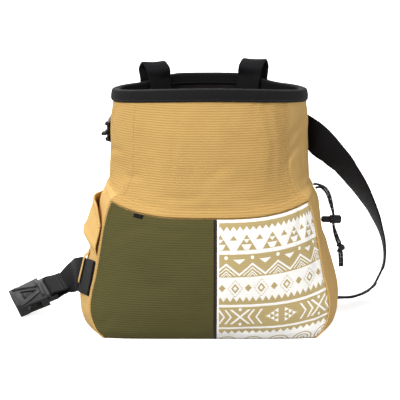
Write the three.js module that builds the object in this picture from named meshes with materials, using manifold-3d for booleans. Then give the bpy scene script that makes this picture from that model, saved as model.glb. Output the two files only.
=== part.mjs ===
// A free-standing climbing chalk bag: a flared canvas bucket with a stiff bound rim, two front pocket
// panels, a side pocket, two haul loops, a webbing waist belt and a drawcord with a spring cord lock.
// Millimetres, +Z up, origin on the floor under the middle of the base, the front towards -Y.

import * as THREE from 'three';
import { mergeVertices } from 'three/addons/utils/BufferGeometryUtils.js';
import Module from 'manifold-3d';

const wasm = await Module();
wasm.setup();

// Body sizes
const bagHeight = 251;
const mouthWidth = 194;
const mouthDepth = 124;
const waistWidth = 213;
const waistDepth = 146;
const baseWidth = 273;
const baseDepth = 163;
const waistFront = 125.3;
const waistCorner = 136.4;
const waistSide = 143;
const rimDroop = 7.5;

// Walls and running clearance
const clearance = 0.3;
const shellWall = 3;
const liningWall = 1.5;
const pocketWall = 1.2;
const sidePocketWall = 1.5;

// Rim binding
const bindingHeight = 12;
const bindingWall = 1.5;
const bindingSwell = 0.5;

// Front pockets
const pocketSplit = 5.6;
const zipWidth = 2.5;
const zipWall = 0.8;
const zipSink = 0.4;
const tabWidth = 10.5;
const tabHeight = 4.5;
const tabWall = 1.2;
const tabPlace = -70;

// Webbing
const beltWidth = 36;
const beltThickness = 1.8;
const beltHeight = 197;
const beltStandoff = 0.8;
const haulWidth = 25;
const haulThickness = 1.6;
const haulRise = 17;
const keeperWidth = 14;
const keeperThickness = 1.4;
const flapWidth = 9;
const flapDrop = 34;
const flapThickness = 1.2;

// Side-release buckle
const socketWidth = 46;
const socketLength = 44;
const socketThickness = 11;
const socketWall = 2;
const socketSlot = 5.5;
const socketBar = 4;
const plugLength = 40;
const plugWidth = 36;
const plugThickness = 5;

// Drawcord and cord lock
const cordDiameter = 2.5;
const cordSpacing = 2.8;
const lockDiameter = 9;
const lockBore = 7.4;
const lockLength = 11.8;
const lockEnd = 1.4;
const plungerDiameter = 6.8;
const plungerReach = 9.2;
const plungerDepth = 7;
const plungerTravel = 2.2;
const knotSize = [9.5, 8, 10.5];

// Grid of the cloth body
const panelSteps = 9;
const gussetSteps = 5;

// Sections from the floor (level 0) over the waist seam (level 1) to the rim (level 2).
// girth and depth: how far the half sizes have gone from the waist's to the base's or the mouth's.
// corner and turn: where a front panel meets the side gusset, as shares of the half width and half depth.
// flat: how square the front panel is. bow: how round the gusset is.
const sections = [
  { level: 0, girth: 0.92, depth: 0.25, corner: 0.79, turn: 0.96, flat: 6, bow: 1.6 },
  { level: 0.045, girth: 0.97, depth: 0.56, corner: 0.83, turn: 0.93, flat: 5, bow: 1.6 },
  { level: 0.12, girth: 1.0, depth: 0.81, corner: 0.868, turn: 0.86, flat: 4, bow: 1.6 },
  { level: 0.22, girth: 1.0, depth: 1.0, corner: 0.89, turn: 0.8, flat: 3.4, bow: 1.6 },
  { level: 0.33, girth: 0.9, depth: 1.0, corner: 0.897, turn: 0.74, flat: 3.2, bow: 1.6 },
  { level: 0.45, girth: 0.74, depth: 0.98, corner: 0.9, turn: 0.69, flat: 3.0, bow: 1.7 },
  { level: 0.57, girth: 0.57, depth: 0.88, corner: 0.912, turn: 0.66, flat: 2.8, bow: 1.75 },
  { level: 0.7, girth: 0.35, depth: 0.69, corner: 0.937, turn: 0.63, flat: 2.7, bow: 1.8 },
  { level: 0.82, girth: 0.28, depth: 0.5, corner: 0.928, turn: 0.6, flat: 2.6, bow: 1.85 },
  { level: 0.93, girth: 0.18, depth: 0.25, corner: 0.918, turn: 0.59, flat: 2.5, bow: 1.9 },
  { level: 1.0, girth: 0, depth: 0, corner: 0.93, turn: 0.6, flat: 2.5, bow: 2.0 },
  { level: 1.08, girth: 0.27, depth: 0.14, corner: 0.86, turn: 0.61, flat: 2.4, bow: 2.05 },
  { level: 1.25, girth: 0.44, depth: 0.32, corner: 0.8, turn: 0.62, flat: 2.3, bow: 2.1 },
  { level: 1.45, girth: 0.54, depth: 0.45, corner: 0.78, turn: 0.62, flat: 2.3, bow: 2.1 },
  { level: 1.7, girth: 0.62, depth: 0.64, corner: 0.78, turn: 0.62, flat: 2.3, bow: 2.1 },
  { level: 1.88, girth: 0.85, depth: 0.82, corner: 0.78, turn: 0.62, flat: 2.3, bow: 2.1 },
  { level: 2.0, girth: 1, depth: 1, corner: 0.78, turn: 0.62, flat: 2.3, bow: 2.1 },
];

// Folds and dents of the cloth. place runs 0 front centre, 1 front seam, 2 side, 3 back seam, 4 back
// centre, negative on the left. swell is a share of the wall, outwards.
const folds = [
  { place: -0.42, level: 1.62, across: 0.2, tall: 0.3, swell: 0.6 },
  { place: 0.72, level: 1.5, across: 0.2, tall: 0.4, swell: 0.7 },
  { place: 1.35, level: 1.5, across: 0.35, tall: 0.22, swell: -0.9 },
  { place: -1.2, level: 1.22, across: 0.25, tall: 0.14, swell: -0.9 },
  { place: 0.1, level: 0.5, across: 0.5, tall: 0.28, swell: 0.9 },
  { place: -0.62, level: 0.72, across: 0.3, tall: 0.16, swell: 0.7 },
  { place: 2.8, level: 0.6, across: 0.4, tall: 0.2, swell: -1.0 },
  { place: -3.1, level: 0.45, across: 0.5, tall: 0.2, swell: -0.9 },
  { place: 4.0, level: 1.4, across: 0.5, tall: 0.25, swell: -0.7 },
];

// Side pocket, hung on the left gusset: where its mouth and bottom lie, and how far it stands off.
const sidePocketRows = [
  { share: 0.0, standoff: 0.0 },
  { share: 0.07, standoff: 0.42 },
  { share: 0.18, standoff: 1.0 },
  { share: 0.44, standoff: 0.93 },
  { share: 0.62, standoff: 0.76 },
  { share: 0.82, standoff: 0.56 },
  { share: 1.0, standoff: 0.47 },
];
const sidePocketColumns = [
  { place: -1.04, mouth: 0.8, puff: 0.2 },
  { place: -1.2, mouth: 0.86, puff: 0.6 },
  { place: -1.4, mouth: 0.9, puff: 0.85 },
  { place: -1.6, mouth: 0.905, puff: 1.0 },
  { place: -1.8, mouth: 0.905, puff: 1.0 },
  { place: -2.0, mouth: 0.905, puff: 0.95 },
  { place: -2.2, mouth: 0.905, puff: 0.75 },
  { place: -2.4, mouth: 0.905, puff: 0.35 },
  { place: -2.6, mouth: 0.905, puff: 0.0 },
];
const sidePocketBottom = 0.59;
const sidePocketStandoff = 10.5;
const sidePocketSeat = 0.6;

// The belt's free loop on the right. out and back are shares of the half base, up of the belt's height
// and turn is how far the webbing has turned from upright, in degrees.
const beltLoop = [
  { out: 1.14, back: 0.3, up: 0.058, turn: 90 },
  { out: 1.235, back: 0.41, up: 0.062, turn: 90 },
  { out: 1.322, back: 0.52, up: 0.085, turn: 90 },
  { out: 1.38, back: 0.58, up: 0.142, turn: 90 },
  { out: 1.407, back: 0.56, up: 0.213, turn: 90 },
  { out: 1.402, back: 0.48, up: 0.284, turn: 87 },
  { out: 1.366, back: 0.345, up: 0.383, turn: 80 },
  { out: 1.308, back: 0.22, up: 0.488, turn: 72 },
  { out: 1.252, back: 0.123, up: 0.588, turn: 65 },
  { out: 1.146, back: 0.05, up: 0.704, turn: 55 },
  { out: 1.032, back: 0.0, up: 0.811, turn: 48 },
  { out: 0.94, back: -0.012, up: 0.881, turn: 35 },
  { out: 0.856, back: 0.02, up: 0.935, turn: 15 },
  { out: 0.79, back: 0.09, up: 0.975, turn: 5 },
];
const loopLean = new THREE.Vector3(-0.15, -0.93, 0.33).normalize();
const beltPlaces = [2.5, 2.7, 2.9, 3.15, 3.4, 3.7, 4, -3.7, -3.4, -3.15, -2.9];
const sewnPlace = 2.27;
const sewnHeight = 11.5;
const keeperPlace = 3.0;
const plugPlace = -2.25;
const haulPlaceLeft = -3.22;
const haulPlaceRight = 3.36;

// The buckle's socket lies left of the bag: middle of its mouth, the way to its bar and its width's way.
const socketMouth = new THREE.Vector3(-1.5216 * baseWidth / 2, 0.02 * baseDepth / 2, 10.4);
const socketAlong = new THREE.Vector3(0.889, 0.318, 0.327).normalize();
const socketAcross = new THREE.Vector3(-0.4, 0.89, 0.2);

// The short belt on the left gusset: from the front seam backwards, heights as shares of the waist's.
// Then it swings free to the buckle, out and back as shares of the half base, turning to the buckle.
const shortBelt = [
  { place: -1.04, up: 0.405 },
  { place: -1.3, up: 0.385 },
  { place: -1.6, up: 0.355 },
  { place: -1.8, up: 0.34 },
];
const shortSwing = [
  { out: -1.022, back: -0.05, up: 0.322, turn: 0.15 },
  { out: -1.055, back: 0.1, up: 0.29, turn: 0.45 },
  { out: -1.1, back: 0.2, up: 0.252, turn: 0.75 },
];

// The drawcord's route, chosen by hand, from the waist seam on the right to the knot and the tails.
const cordStarts = {
  front: [[107.9, 143.3], [111.2, 143.3], [114.9, 142.3]],
  back: [[110.3, 138.6], [112.8, 139.4], [115.6, 139.5]],
};
// Each row is x, z and how far the pair of strands has turned from lying side by side, in degrees.
const cordRoute = [
  [119.2, 138.6, 0], [122.6, 134.6, 0], [125.2, 128.4, 20], [127.2, 121, 50], [129, 114.2, 82],
  [129.8, 109, 90], [129.8, 102.3, 90], [130.5, 96.8, 82], [132.1, 91.2, 50], [134.5, 84, 20],
  [136.4, 79.7, 10],
];
const cordDepth = -2;
const lockMiddle = [129.8, 105.4];
const knotPlace = [137.8, 74.3];
const tailRoute = [[138.5, 68.3], [139.1, 61.8], [139.4, 53.9]];

// Colours
const finishes = {
  canvas: { color: 0xcfa865, roughness: 0.9, metalness: 0 },
  lining: { color: 0x211f21, roughness: 0.98, metalness: 0 },
  binding: { color: 0x2b292a, roughness: 0.85, metalness: 0 },
  olive: { color: 0x5a5532, roughness: 0.9, metalness: 0 },
  print: { color: 0xd9cfae, roughness: 0.85, metalness: 0 },
  zip: { color: 0x2a2422, roughness: 0.8, metalness: 0 },
  webbing: { color: 0x232225, roughness: 0.7, metalness: 0 },
  cord: { color: 0x161618, roughness: 0.75, metalness: 0 },
  plastic: { color: 0x17171a, roughness: 0.4, metalness: 0 },
};
const materials = {};
for (const [name, settings] of Object.entries(finishes)) {
  materials[name] = new THREE.MeshStandardMaterial({ name, side: THREE.FrontSide, ...settings });
}

const up = new THREE.Vector3(0, 0, 1);
const bindingCover = bindingWall + clearance;
const panelRecess = pocketWall + clearance;
const panelEdge = panelColumn(panelSteps - 1);
const panelTop = 0.985;
const panelFoot = 0.008;

// Surface of the cloth body

function panelColumn(step) {
  return Math.sin((Math.PI / 2) * (step / panelSteps));
}

function smoothstep(low, high, value) {
  const share = Math.min(1, Math.max(0, (value - low) / (high - low)));
  return share * share * (3 - 2 * share);
}

function sectionAt(level) {
  const found = sections.findIndex((row) => row.level > level);
  const high = found < 0 ? sections.length - 1 : Math.max(1, found);
  const [low, top] = [sections[high - 1], sections[high]];
  const share = Math.min(1, Math.max(0, (level - low.level) / (top.level - low.level)));
  const mix = (key) => low[key] + (top[key] - low[key]) * share;
  const [endWidth, endDepth] = level < 1 ? [baseWidth, baseDepth] : [mouthWidth, mouthDepth];
  const halfWidth = (waistWidth + (endWidth - waistWidth) * mix('girth')) / 2;
  const halfDepth = (waistDepth + (endDepth - waistDepth) * mix('depth')) / 2;
  return {
    halfWidth,
    halfDepth,
    cornerX: halfWidth * mix('corner'),
    cornerY: halfDepth * mix('turn'),
    flat: mix('flat'),
    bow: mix('bow'),
  };
}

function outline(place, section) {
  const along = Math.abs(place);
  const step = along <= 2 ? along : 4 - along;
  const { halfWidth, halfDepth, cornerX, cornerY } = section;
  let x = cornerX * step;
  let y = halfDepth - (halfDepth - cornerY) * step ** section.flat;
  if (step > 1) {
    const rest = 2 - step;
    x = cornerX + (halfWidth - cornerX) * (1 - rest ** section.bow);
    y = cornerY * rest;
  }
  return { x: place < 0 ? -x : x, y: along <= 2 ? -y : y };
}

function waistAt(place) {
  const along = Math.abs(place);
  if (along <= 1) return waistFront + (waistCorner - waistFront) * along ** 3.8;
  if (along <= 2) return waistCorner + (waistSide - waistCorner) * Math.sin((Math.PI / 2) * (along - 1));
  return waistSide;
}

function rimTopAt(place) {
  const { x, y } = outline(place, sectionAt(2));
  const share = Math.abs(x) / (mouthWidth / 2);
  return bagHeight - rimDroop * (y < 0 ? share ** 2 : smoothstep(0.3, 0.8, share));
}

function shellTopAt(place) {
  return rimTopAt(place) - bindingCover;
}

function levelAt(place, height) {
  const waist = waistAt(place);
  if (height <= waist) return height / waist;
  return 1 + (height - waist) / (shellTopAt(place) - waist);
}

function foldSwell(place, level) {
  let total = 0;
  for (const fold of folds) {
    const raw = Math.abs(place - fold.place);
    const away = Math.min(raw, 8 - raw) / fold.across;
    const aloft = (level - fold.level) / fold.tall;
    total += shellWall * fold.swell * Math.exp(-(away ** 2) - aloft ** 2);
  }
  return total;
}

function plainPoint(place, level) {
  const { x, y } = outline(place, sectionAt(level));
  const waist = waistAt(place);
  const z = level <= 1 ? waist * level : waist + (level - 1) * (shellTopAt(place) - waist);
  return new THREE.Vector3(x, y, z);
}

function wrapPlace(place) {
  if (place > 4) return place - 8;
  if (place < -4) return place + 8;
  return place;
}

function outwards(place, level) {
  const small = 0.02;
  const low = Math.max(0, level - small);
  const along = plainPoint(wrapPlace(place + small), level).sub(plainPoint(wrapPlace(place - small), level));
  const aloft = plainPoint(place, level + small).sub(plainPoint(place, low));
  return along.cross(aloft).normalize();
}

function clothPoint(place, level, offset) {
  const normal = outwards(place, level);
  return plainPoint(place, level).addScaledVector(normal, offset + foldSwell(place, level));
}

// A point beside the body at a given height, offset level with the floor.
function besideBody(place, height, offset) {
  const level = levelAt(place, height);
  const normal = outwards(place, level).setZ(0).normalize();
  const point = plainPoint(place, level).addScaledVector(normal, offset + foldSwell(place, level));
  return point.setZ(height);
}

function alongBody(place, height) {
  return up.clone().cross(outwards(place, levelAt(place, height)).setZ(0)).normalize();
}

function placesAround() {
  const half = [];
  for (let step = 0; step <= panelSteps; step += 1) half.push(panelColumn(step));
  for (let step = 1; step <= 2 * gussetSteps; step += 1) half.push(1 + step / gussetSteps);
  for (let step = panelSteps - 1; step >= 0; step -= 1) half.push(4 - panelColumn(step));
  const left = half.slice(1, -1).map((place) => -place).reverse();
  return [...half, ...left];
}

// Closed solids from rings, sheets and ribbons of points

function solidFrom(points, triangles) {
  let volume = 0;
  for (const [a, b, c] of triangles) {
    volume += points[a].dot(new THREE.Vector3().crossVectors(points[b], points[c]));
  }
  const ordered = volume < 0 ? triangles.map(([a, b, c]) => [a, c, b]) : triangles;
  const geometry = new THREE.BufferGeometry();
  const flat = points.flatMap((point) => [point.x, point.y, point.z]);
  geometry.setAttribute('position', new THREE.Float32BufferAttribute(flat, 3));
  geometry.setIndex(ordered.flat());
  geometry.computeVertexNormals();
  return geometry;
}

function ringSolid(rings, closed = false) {
  const count = rings[0].length;
  const points = rings.flat();
  const triangles = [];
  const spans = closed ? rings.length : rings.length - 1;
  for (let ring = 0; ring < spans; ring += 1) {
    const next = (ring + 1) % rings.length;
    for (let step = 0; step < count; step += 1) {
      const side = (step + 1) % count;
      const [a, b] = [ring * count + step, ring * count + side];
      const [c, d] = [next * count + side, next * count + step];
      triangles.push([a, b, c], [a, c, d]);
    }
  }
  if (!closed) {
    for (const [ring, flip] of [[0, true], [rings.length - 1, false]]) {
      const middle = rings[ring].reduce((sum, point) => sum.add(point), new THREE.Vector3());
      const hub = points.push(middle.divideScalar(count)) - 1;
      for (let step = 0; step < count; step += 1) {
        const [a, b] = [ring * count + step, ring * count + ((step + 1) % count)];
        triangles.push(flip ? [b, a, hub] : [a, b, hub]);
      }
    }
  }
  return solidFrom(points, triangles);
}

// A sheet with a wall: pointAt(row, column, face) gives face 0 and face 1 of the cloth.
function sheetSolid(rowCount, columnCount, pointAt) {
  const points = [];
  for (const face of [0, 1]) {
    for (let row = 0; row < rowCount; row += 1) {
      for (let column = 0; column < columnCount; column += 1) points.push(pointAt(row, column, face));
    }
  }
  const index = (row, column, face) => (face * rowCount + row) * columnCount + column;
  const triangles = [];
  const quad = (a, b, c, d) => triangles.push([a, b, c], [a, c, d]);
  for (let row = 0; row < rowCount - 1; row += 1) {
    for (let column = 0; column < columnCount - 1; column += 1) {
      const corners = [[row, column], [row, column + 1], [row + 1, column + 1], [row + 1, column]];
      const [a, b, c, d] = corners.map(([r, k]) => index(r, k, 0));
      const [e, f, g, h] = corners.map(([r, k]) => index(r, k, 1));
      triangles.push([a, b, c], [a, c, d], [e, g, f], [e, h, g]);
    }
  }
  const [lastRow, lastColumn] = [rowCount - 1, columnCount - 1];
  for (let column = 0; column < lastColumn; column += 1) {
    quad(index(0, column + 1, 0), index(0, column, 0), index(0, column, 1), index(0, column + 1, 1));
    quad(index(lastRow, column, 0), index(lastRow, column + 1, 0),
      index(lastRow, column + 1, 1), index(lastRow, column, 1));
  }
  for (let row = 0; row < lastRow; row += 1) {
    quad(index(row, 0, 0), index(row + 1, 0, 0), index(row + 1, 0, 1), index(row, 0, 1));
    quad(index(row + 1, lastColumn, 0), index(row, lastColumn, 0),
      index(row, lastColumn, 1), index(row + 1, lastColumn, 1));
  }
  return solidFrom(points, triangles);
}

// Webbing along stations of { at, across }, smoothed between them.
function ribbonSolid(stations, width, thickness, stepsEach) {
  const path = new THREE.CatmullRomCurve3(stations.map((station) => station.at), false, 'catmullrom', 0.5);
  const steps = (stations.length - 1) * stepsEach;
  const rings = [];
  for (let step = 0; step <= steps; step += 1) {
    const share = step / steps;
    const from = Math.min(stations.length - 2, Math.floor(step / stepsEach));
    const part = step / stepsEach - from;
    const along = path.getTangent(share);
    const across = stations[from].across.clone().lerp(stations[from + 1].across, part);
    across.addScaledVector(along, -across.dot(along)).normalize();
    const face = new THREE.Vector3().crossVectors(along, across).normalize();
    const middle = path.getPoint(share);
    const corner = (side, top) => middle.clone()
      .addScaledVector(across, (side * width) / 2)
      .addScaledVector(face, (top * thickness) / 2);
    rings.push([corner(-1, -1), corner(1, -1), corner(1, 1), corner(-1, 1)]);
  }
  return ringSolid(rings);
}

function tubeSolid(points, diameter, sides, steps) {
  const section = new THREE.Shape();
  for (let side = 0; side < sides; side += 1) {
    const angle = (2 * Math.PI * side) / sides;
    const [x, y] = [Math.cos(angle) * diameter / 2, Math.sin(angle) * diameter / 2];
    if (side === 0) section.moveTo(x, y);
    else section.lineTo(x, y);
  }
  const extrudePath = new THREE.CatmullRomCurve3(points, false, 'centripetal');
  return new THREE.ExtrudeGeometry(section, { steps, bevelEnabled: false, extrudePath });
}

// Boolean cuts

function toManifold(geometry) {
  const bare = geometry.clone();
  bare.deleteAttribute('normal');
  bare.deleteAttribute('uv');
  const merged = mergeVertices(bare, 1e-4);
  return new wasm.Manifold(new wasm.Mesh({
    numProp: 3,
    vertProperties: new Float32Array(merged.attributes.position.array),
    triVerts: new Uint32Array(merged.index.array),
  }));
}

function fromManifold(solid) {
  const mesh = solid.getMesh();
  const geometry = new THREE.BufferGeometry();
  geometry.setAttribute('position', new THREE.BufferAttribute(new Float32Array(mesh.vertProperties), 3));
  geometry.setIndex(new THREE.BufferAttribute(new Uint32Array(mesh.triVerts), 1));
  geometry.computeVertexNormals();
  return geometry;
}

function cutAway(geometry, cutters) {
  let solid = toManifold(geometry);
  for (const cutter of cutters) solid = solid.subtract(toManifold(cutter));
  return fromManifold(solid);
}

function boxAt(size, middle) {
  return new THREE.BoxGeometry(...size).translate(...middle);
}

// Cloth pieces

function bodyShell() {
  const places = placesAround();
  const isPanel = (place, level) => Math.abs(place) <= panelEdge && level <= panelTop;
  const outerLevels = sections.map((row) => row.level);
  outerLevels.splice(outerLevels.indexOf(1), 0, panelTop);
  const outer = outerLevels.map((level) => places.map((place) => (
    clothPoint(place, level, isPanel(place, level) ? -panelRecess : 0))));
  for (const point of outer[0]) point.setZ(0);
  const inner = insideRings(places, shellWall, shellWall);
  return ringSolid([...outer, ...inner.reverse()]);
}

const insideLevels = [0.045, 0.12, 0.22, 0.45, 0.7, 0.93, 1.0, 1.25, 1.7, 1.88, 2.0];

// Rings of an inner face, from a flat floor at the given height up to the rim.
function insideRings(places, depth, floor) {
  const rings = insideLevels.map((level) => places.map((place) => clothPoint(place, level, -depth)));
  const ground = rings[0].map((point) => point.clone().setZ(floor));
  for (const point of rings[0]) point.setZ(floor + insideLevels[0] * waistSide);
  return [ground, ...rings];
}

function lining() {
  const places = placesAround();
  const outside = shellWall + clearance;
  const inside = outside + liningWall;
  return ringSolid([...insideRings(places, inside, inside), ...insideRings(places, outside, outside).reverse()]);
}

function rimBinding() {
  const inside = -(shellWall + clearance + liningWall + clearance);
  const section = [
    { offset: clearance, drop: bindingHeight },
    { offset: clearance + bindingWall, drop: bindingHeight },
    { offset: clearance + bindingWall + bindingSwell, drop: bindingHeight / 2 },
    { offset: clearance + bindingWall, drop: bindingWall },
    { offset: 0, drop: 0 },
    { offset: inside + bindingSwell, drop: 0 },
    { offset: inside - bindingWall, drop: bindingWall },
    { offset: inside - bindingWall, drop: bindingHeight },
    { offset: inside, drop: bindingHeight },
    { offset: inside, drop: bindingWall },
    { offset: clearance, drop: bindingWall },
  ];
  const places = placesAround();
  const rings = places.map((place) => section.map(({ offset, drop }) => (
    besideBody(place, rimTopAt(place) - drop, offset))));
  return ringSolid(rings, true);
}

function pocketLevels() {
  const between = sections.map((row) => row.level).filter((level) => level > panelFoot && level < panelTop);
  return [panelFoot, ...between, panelTop];
}

// A cloth panel on the front between two edges, each an x in millimetres or null for the outer seam.
function frontPanel(leftEdge, rightEdge, faces) {
  const levels = pocketLevels();
  const columnsAt = (level) => {
    const { cornerX } = sectionAt(level);
    const left = leftEdge === null ? -panelEdge : leftEdge / cornerX;
    const right = rightEdge === null ? panelEdge : rightEdge / cornerX;
    return { left, right };
  };
  const inner = [];
  for (let step = 1; step < panelSteps - 1; step += 1) inner.push(panelColumn(step));
  const middle = leftEdge === null ? inner.map((place) => -place).reverse() : inner;
  const widest = leftEdge !== null && rightEdge !== null;
  const columnCount = widest ? 2 : middle.length + 2;
  return sheetSolid(levels.length, columnCount, (row, column, face) => {
    const { left, right } = columnsAt(levels[row]);
    const place = column === 0 ? left : column === columnCount - 1 ? right : middle[column - 1];
    return clothPoint(place, levels[row], faces[face]);
  });
}

function pocketTab() {
  const level = panelTop - tabHeight / 2 / waistFront;
  const reach = tabWidth / 2 / sectionAt(level).cornerX;
  const place = tabPlace / sectionAt(level).cornerX;
  const rise = tabHeight / 2 / waistFront;
  return sheetSolid(2, 2, (row, column, face) => clothPoint(
    place + (column * 2 - 1) * reach, level + (row * 2 - 1) * rise, clearance + face * tabWall));
}

function sidePocket() {
  return sheetSolid(sidePocketRows.length, sidePocketColumns.length, (row, column, face) => {
    const { share, standoff } = sidePocketRows[row];
    const { place, mouth, puff } = sidePocketColumns[column];
    const level = sidePocketBottom + (mouth - sidePocketBottom) * share;
    const gap = sidePocketSeat + sidePocketStandoff * standoff * puff;
    return clothPoint(place, level, gap + face * sidePocketWall);
  });
}

// Webbing pieces

function haulLoop(place) {
  const top = rimTopAt(place);
  const inside = shellWall + liningWall + 2 * clearance + bindingWall + clearance + haulThickness / 2;
  const outside = clearance + bindingWall + bindingSwell + clearance + haulThickness / 2;
  const sagitta = haulWidth ** 2 / (8 * mouthDepth / 4);
  const stations = [
    { slide: 7, offset: -inside - sagitta, rise: -38, face: 0 },
    { slide: 5, offset: -inside - sagitta - 0.4, rise: -bindingHeight - 3, face: 0 },
    { slide: 3, offset: -inside - sagitta - 0.6, rise: 0, face: 0 },
    { slide: 1, offset: -inside - sagitta - 1.5, rise: haulRise * 0.6, face: 0.5 },
    { slide: 0, offset: (outside - inside) / 2, rise: haulRise, face: 0.5 },
    { slide: 0, offset: outside + 2.2, rise: haulRise * 0.6, face: 0.5 },
    { slide: 0, offset: outside + 1.4, rise: 0, face: 0 },
    { slide: 0, offset: outside, rise: -bindingHeight - 3, face: 0 },
    { slide: 0, offset: outside - bindingWall, rise: -23, face: 0 },
  ];
  const along = alongBody(place, top - bindingHeight);
  const slidePlace = Math.sign(place) / sectionAt(2).cornerX;
  const sideways = new THREE.Vector3(Math.sign(along.x), 0, 0);
  return ribbonSolid(stations.map(({ slide, offset, rise, face }) => {
    const base = besideBody(place + slide * slidePlace, top + Math.min(rise, -bindingHeight), offset);
    return {
      at: base.setZ(top + rise),
      across: along.clone().lerp(sideways, face).normalize(),
    };
  }), haulWidth, haulThickness, 3);
}

function loopStation({ out, back, up: share, turn }) {
  const angle = THREE.MathUtils.degToRad(turn);
  const across = up.clone().multiplyScalar(Math.cos(angle)).addScaledVector(loopLean, Math.sin(angle));
  const at = new THREE.Vector3(out * baseWidth / 2, back * baseDepth / 2, share * beltHeight);
  return { at, across };
}

function plugFrame() {
  const along = alongBody(plugPlace, beltHeight);
  const face = along.clone().cross(up).normalize();
  const middle = besideBody(plugPlace, beltHeight, 4 * clearance + plugThickness / 2);
  return { along, face, middle };
}

// Upright webbing that lies on the body and leans as it does.
function lyingStation(place, height) {
  const half = beltWidth / 2;
  const offset = beltStandoff + beltThickness / 2;
  const [low, high] = [besideBody(place, height - half, offset), besideBody(place, height + half, offset)];
  const face = outwards(place, levelAt(place, height));
  const [chord, middle] = [low.clone().add(high).divideScalar(2), besideBody(place, height, offset)];
  const at = chord.dot(face) > middle.dot(face) ? chord : middle;
  return { at, across: high.sub(low).normalize() };
}

function sewnStation(offset) {
  const across = alongBody(sewnPlace, sewnHeight).negate().addScaledVector(up, 0.3).normalize();
  return { at: besideBody(sewnPlace, sewnHeight, offset), across };
}

function longBelt() {
  const stations = [sewnStation(4 * clearance), sewnStation(beltWidth / 4), ...beltLoop.map(loopStation)];
  for (const place of beltPlaces) stations.push(lyingStation(place, beltHeight));
  const { along, middle } = plugFrame();
  const away = plugLength / 2 + 3 * clearance;
  stations.push({ at: middle.clone().addScaledVector(along, -away), across: up.clone() });
  return ribbonSolid(stations, beltWidth, beltThickness, 2);
}

function socketFrame() {
  const along = socketAlong;
  const across = socketAcross.clone().addScaledVector(along, -socketAcross.dot(along)).normalize();
  const face = new THREE.Vector3().crossVectors(along, across);
  return { along, across, face: face.z < 0 ? face.negate() : face };
}

function socketPoint(forward, rise) {
  const { along, face } = socketFrame();
  return socketMouth.clone().addScaledVector(along, forward).addScaledVector(face, rise);
}

function beltShort() {
  const { across } = socketFrame();
  const stations = shortBelt.map(({ place, up: share }) => lyingStation(place, share * waistSide));
  const bar = socketLength - socketBar / 2;
  const bend = Math.hypot(socketBar, socketBar) / 2 + clearance + beltThickness / 2;
  const upright = stations[stations.length - 1].across.clone();
  for (const { out, back, up: share, turn } of shortSwing) {
    const at = new THREE.Vector3(out * baseWidth / 2, back * baseDepth / 2, share * waistSide);
    stations.push({ at, across: upright.clone().lerp(across, turn).normalize() });
  }
  stations.push({ at: socketPoint(bar + 12, -1.6), across: across.clone() });
  for (const angle of [-90, -135, 180, 135, 90]) {
    const turn = THREE.MathUtils.degToRad(angle);
    stations.push({
      at: socketPoint(bar + bend * Math.cos(turn), bend * Math.sin(turn)),
      across: across.clone(),
    });
  }
  stations.push({ at: socketPoint(bar + 9, 1.9), across: across.clone() });
  stations.push({ at: socketPoint(bar + 16, 1.3), across: across.clone() });
  return ribbonSolid(stations, beltWidth, beltThickness, 2);
}

function beltKeeper(place, middle, width, standoff) {
  const half = beltWidth / 2;
  const low = clearance + keeperThickness / 2;
  const high = standoff + beltThickness + 3 * clearance + keeperThickness / 2;
  const profile = [
    { rise: half + 6.5, offset: low }, { rise: half + 4, offset: low }, { rise: half + 1.5, offset: high },
    { rise: 0, offset: high },
    { rise: -half - 1.5, offset: high }, { rise: -half - 4, offset: low }, { rise: -half - 6.5, offset: low },
  ];
  return ribbonSolid(profile.map(({ rise, offset }) => ({
    at: besideBody(place, middle + rise, offset),
    across: alongBody(place, middle),
  })), width, keeperThickness, 2);
}

// A cloth flap sewn on above the short belt and lying over its upper half.
function sideFlap() {
  const { place, up: share } = shortBelt[shortBelt.length - 1];
  const top = share * waistSide + beltWidth / 2 + 10;
  const low = 2 * clearance + flapThickness / 2;
  const high = beltStandoff + beltThickness + 3 * clearance + flapThickness / 2;
  const profile = [
    { drop: 0, offset: low }, { drop: 0.09, offset: low }, { drop: 0.2, offset: high },
    { drop: 0.55, offset: high }, { drop: 1, offset: high },
  ];
  return ribbonSolid(profile.map(({ drop, offset }) => ({
    at: besideBody(place + 0.12, top - drop * flapDrop, offset),
    across: alongBody(place, top),
  })), flapWidth, flapThickness, 2);
}

// Buckle

function placeInSocketFrame(geometry) {
  const { along, across, face } = socketFrame();
  const side = across.clone();
  if (new THREE.Vector3().crossVectors(side, along).dot(face) < 0) side.negate();
  const matrix = new THREE.Matrix4().makeBasis(side, along, face).setPosition(socketMouth);
  return geometry.applyMatrix4(matrix);
}

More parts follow.
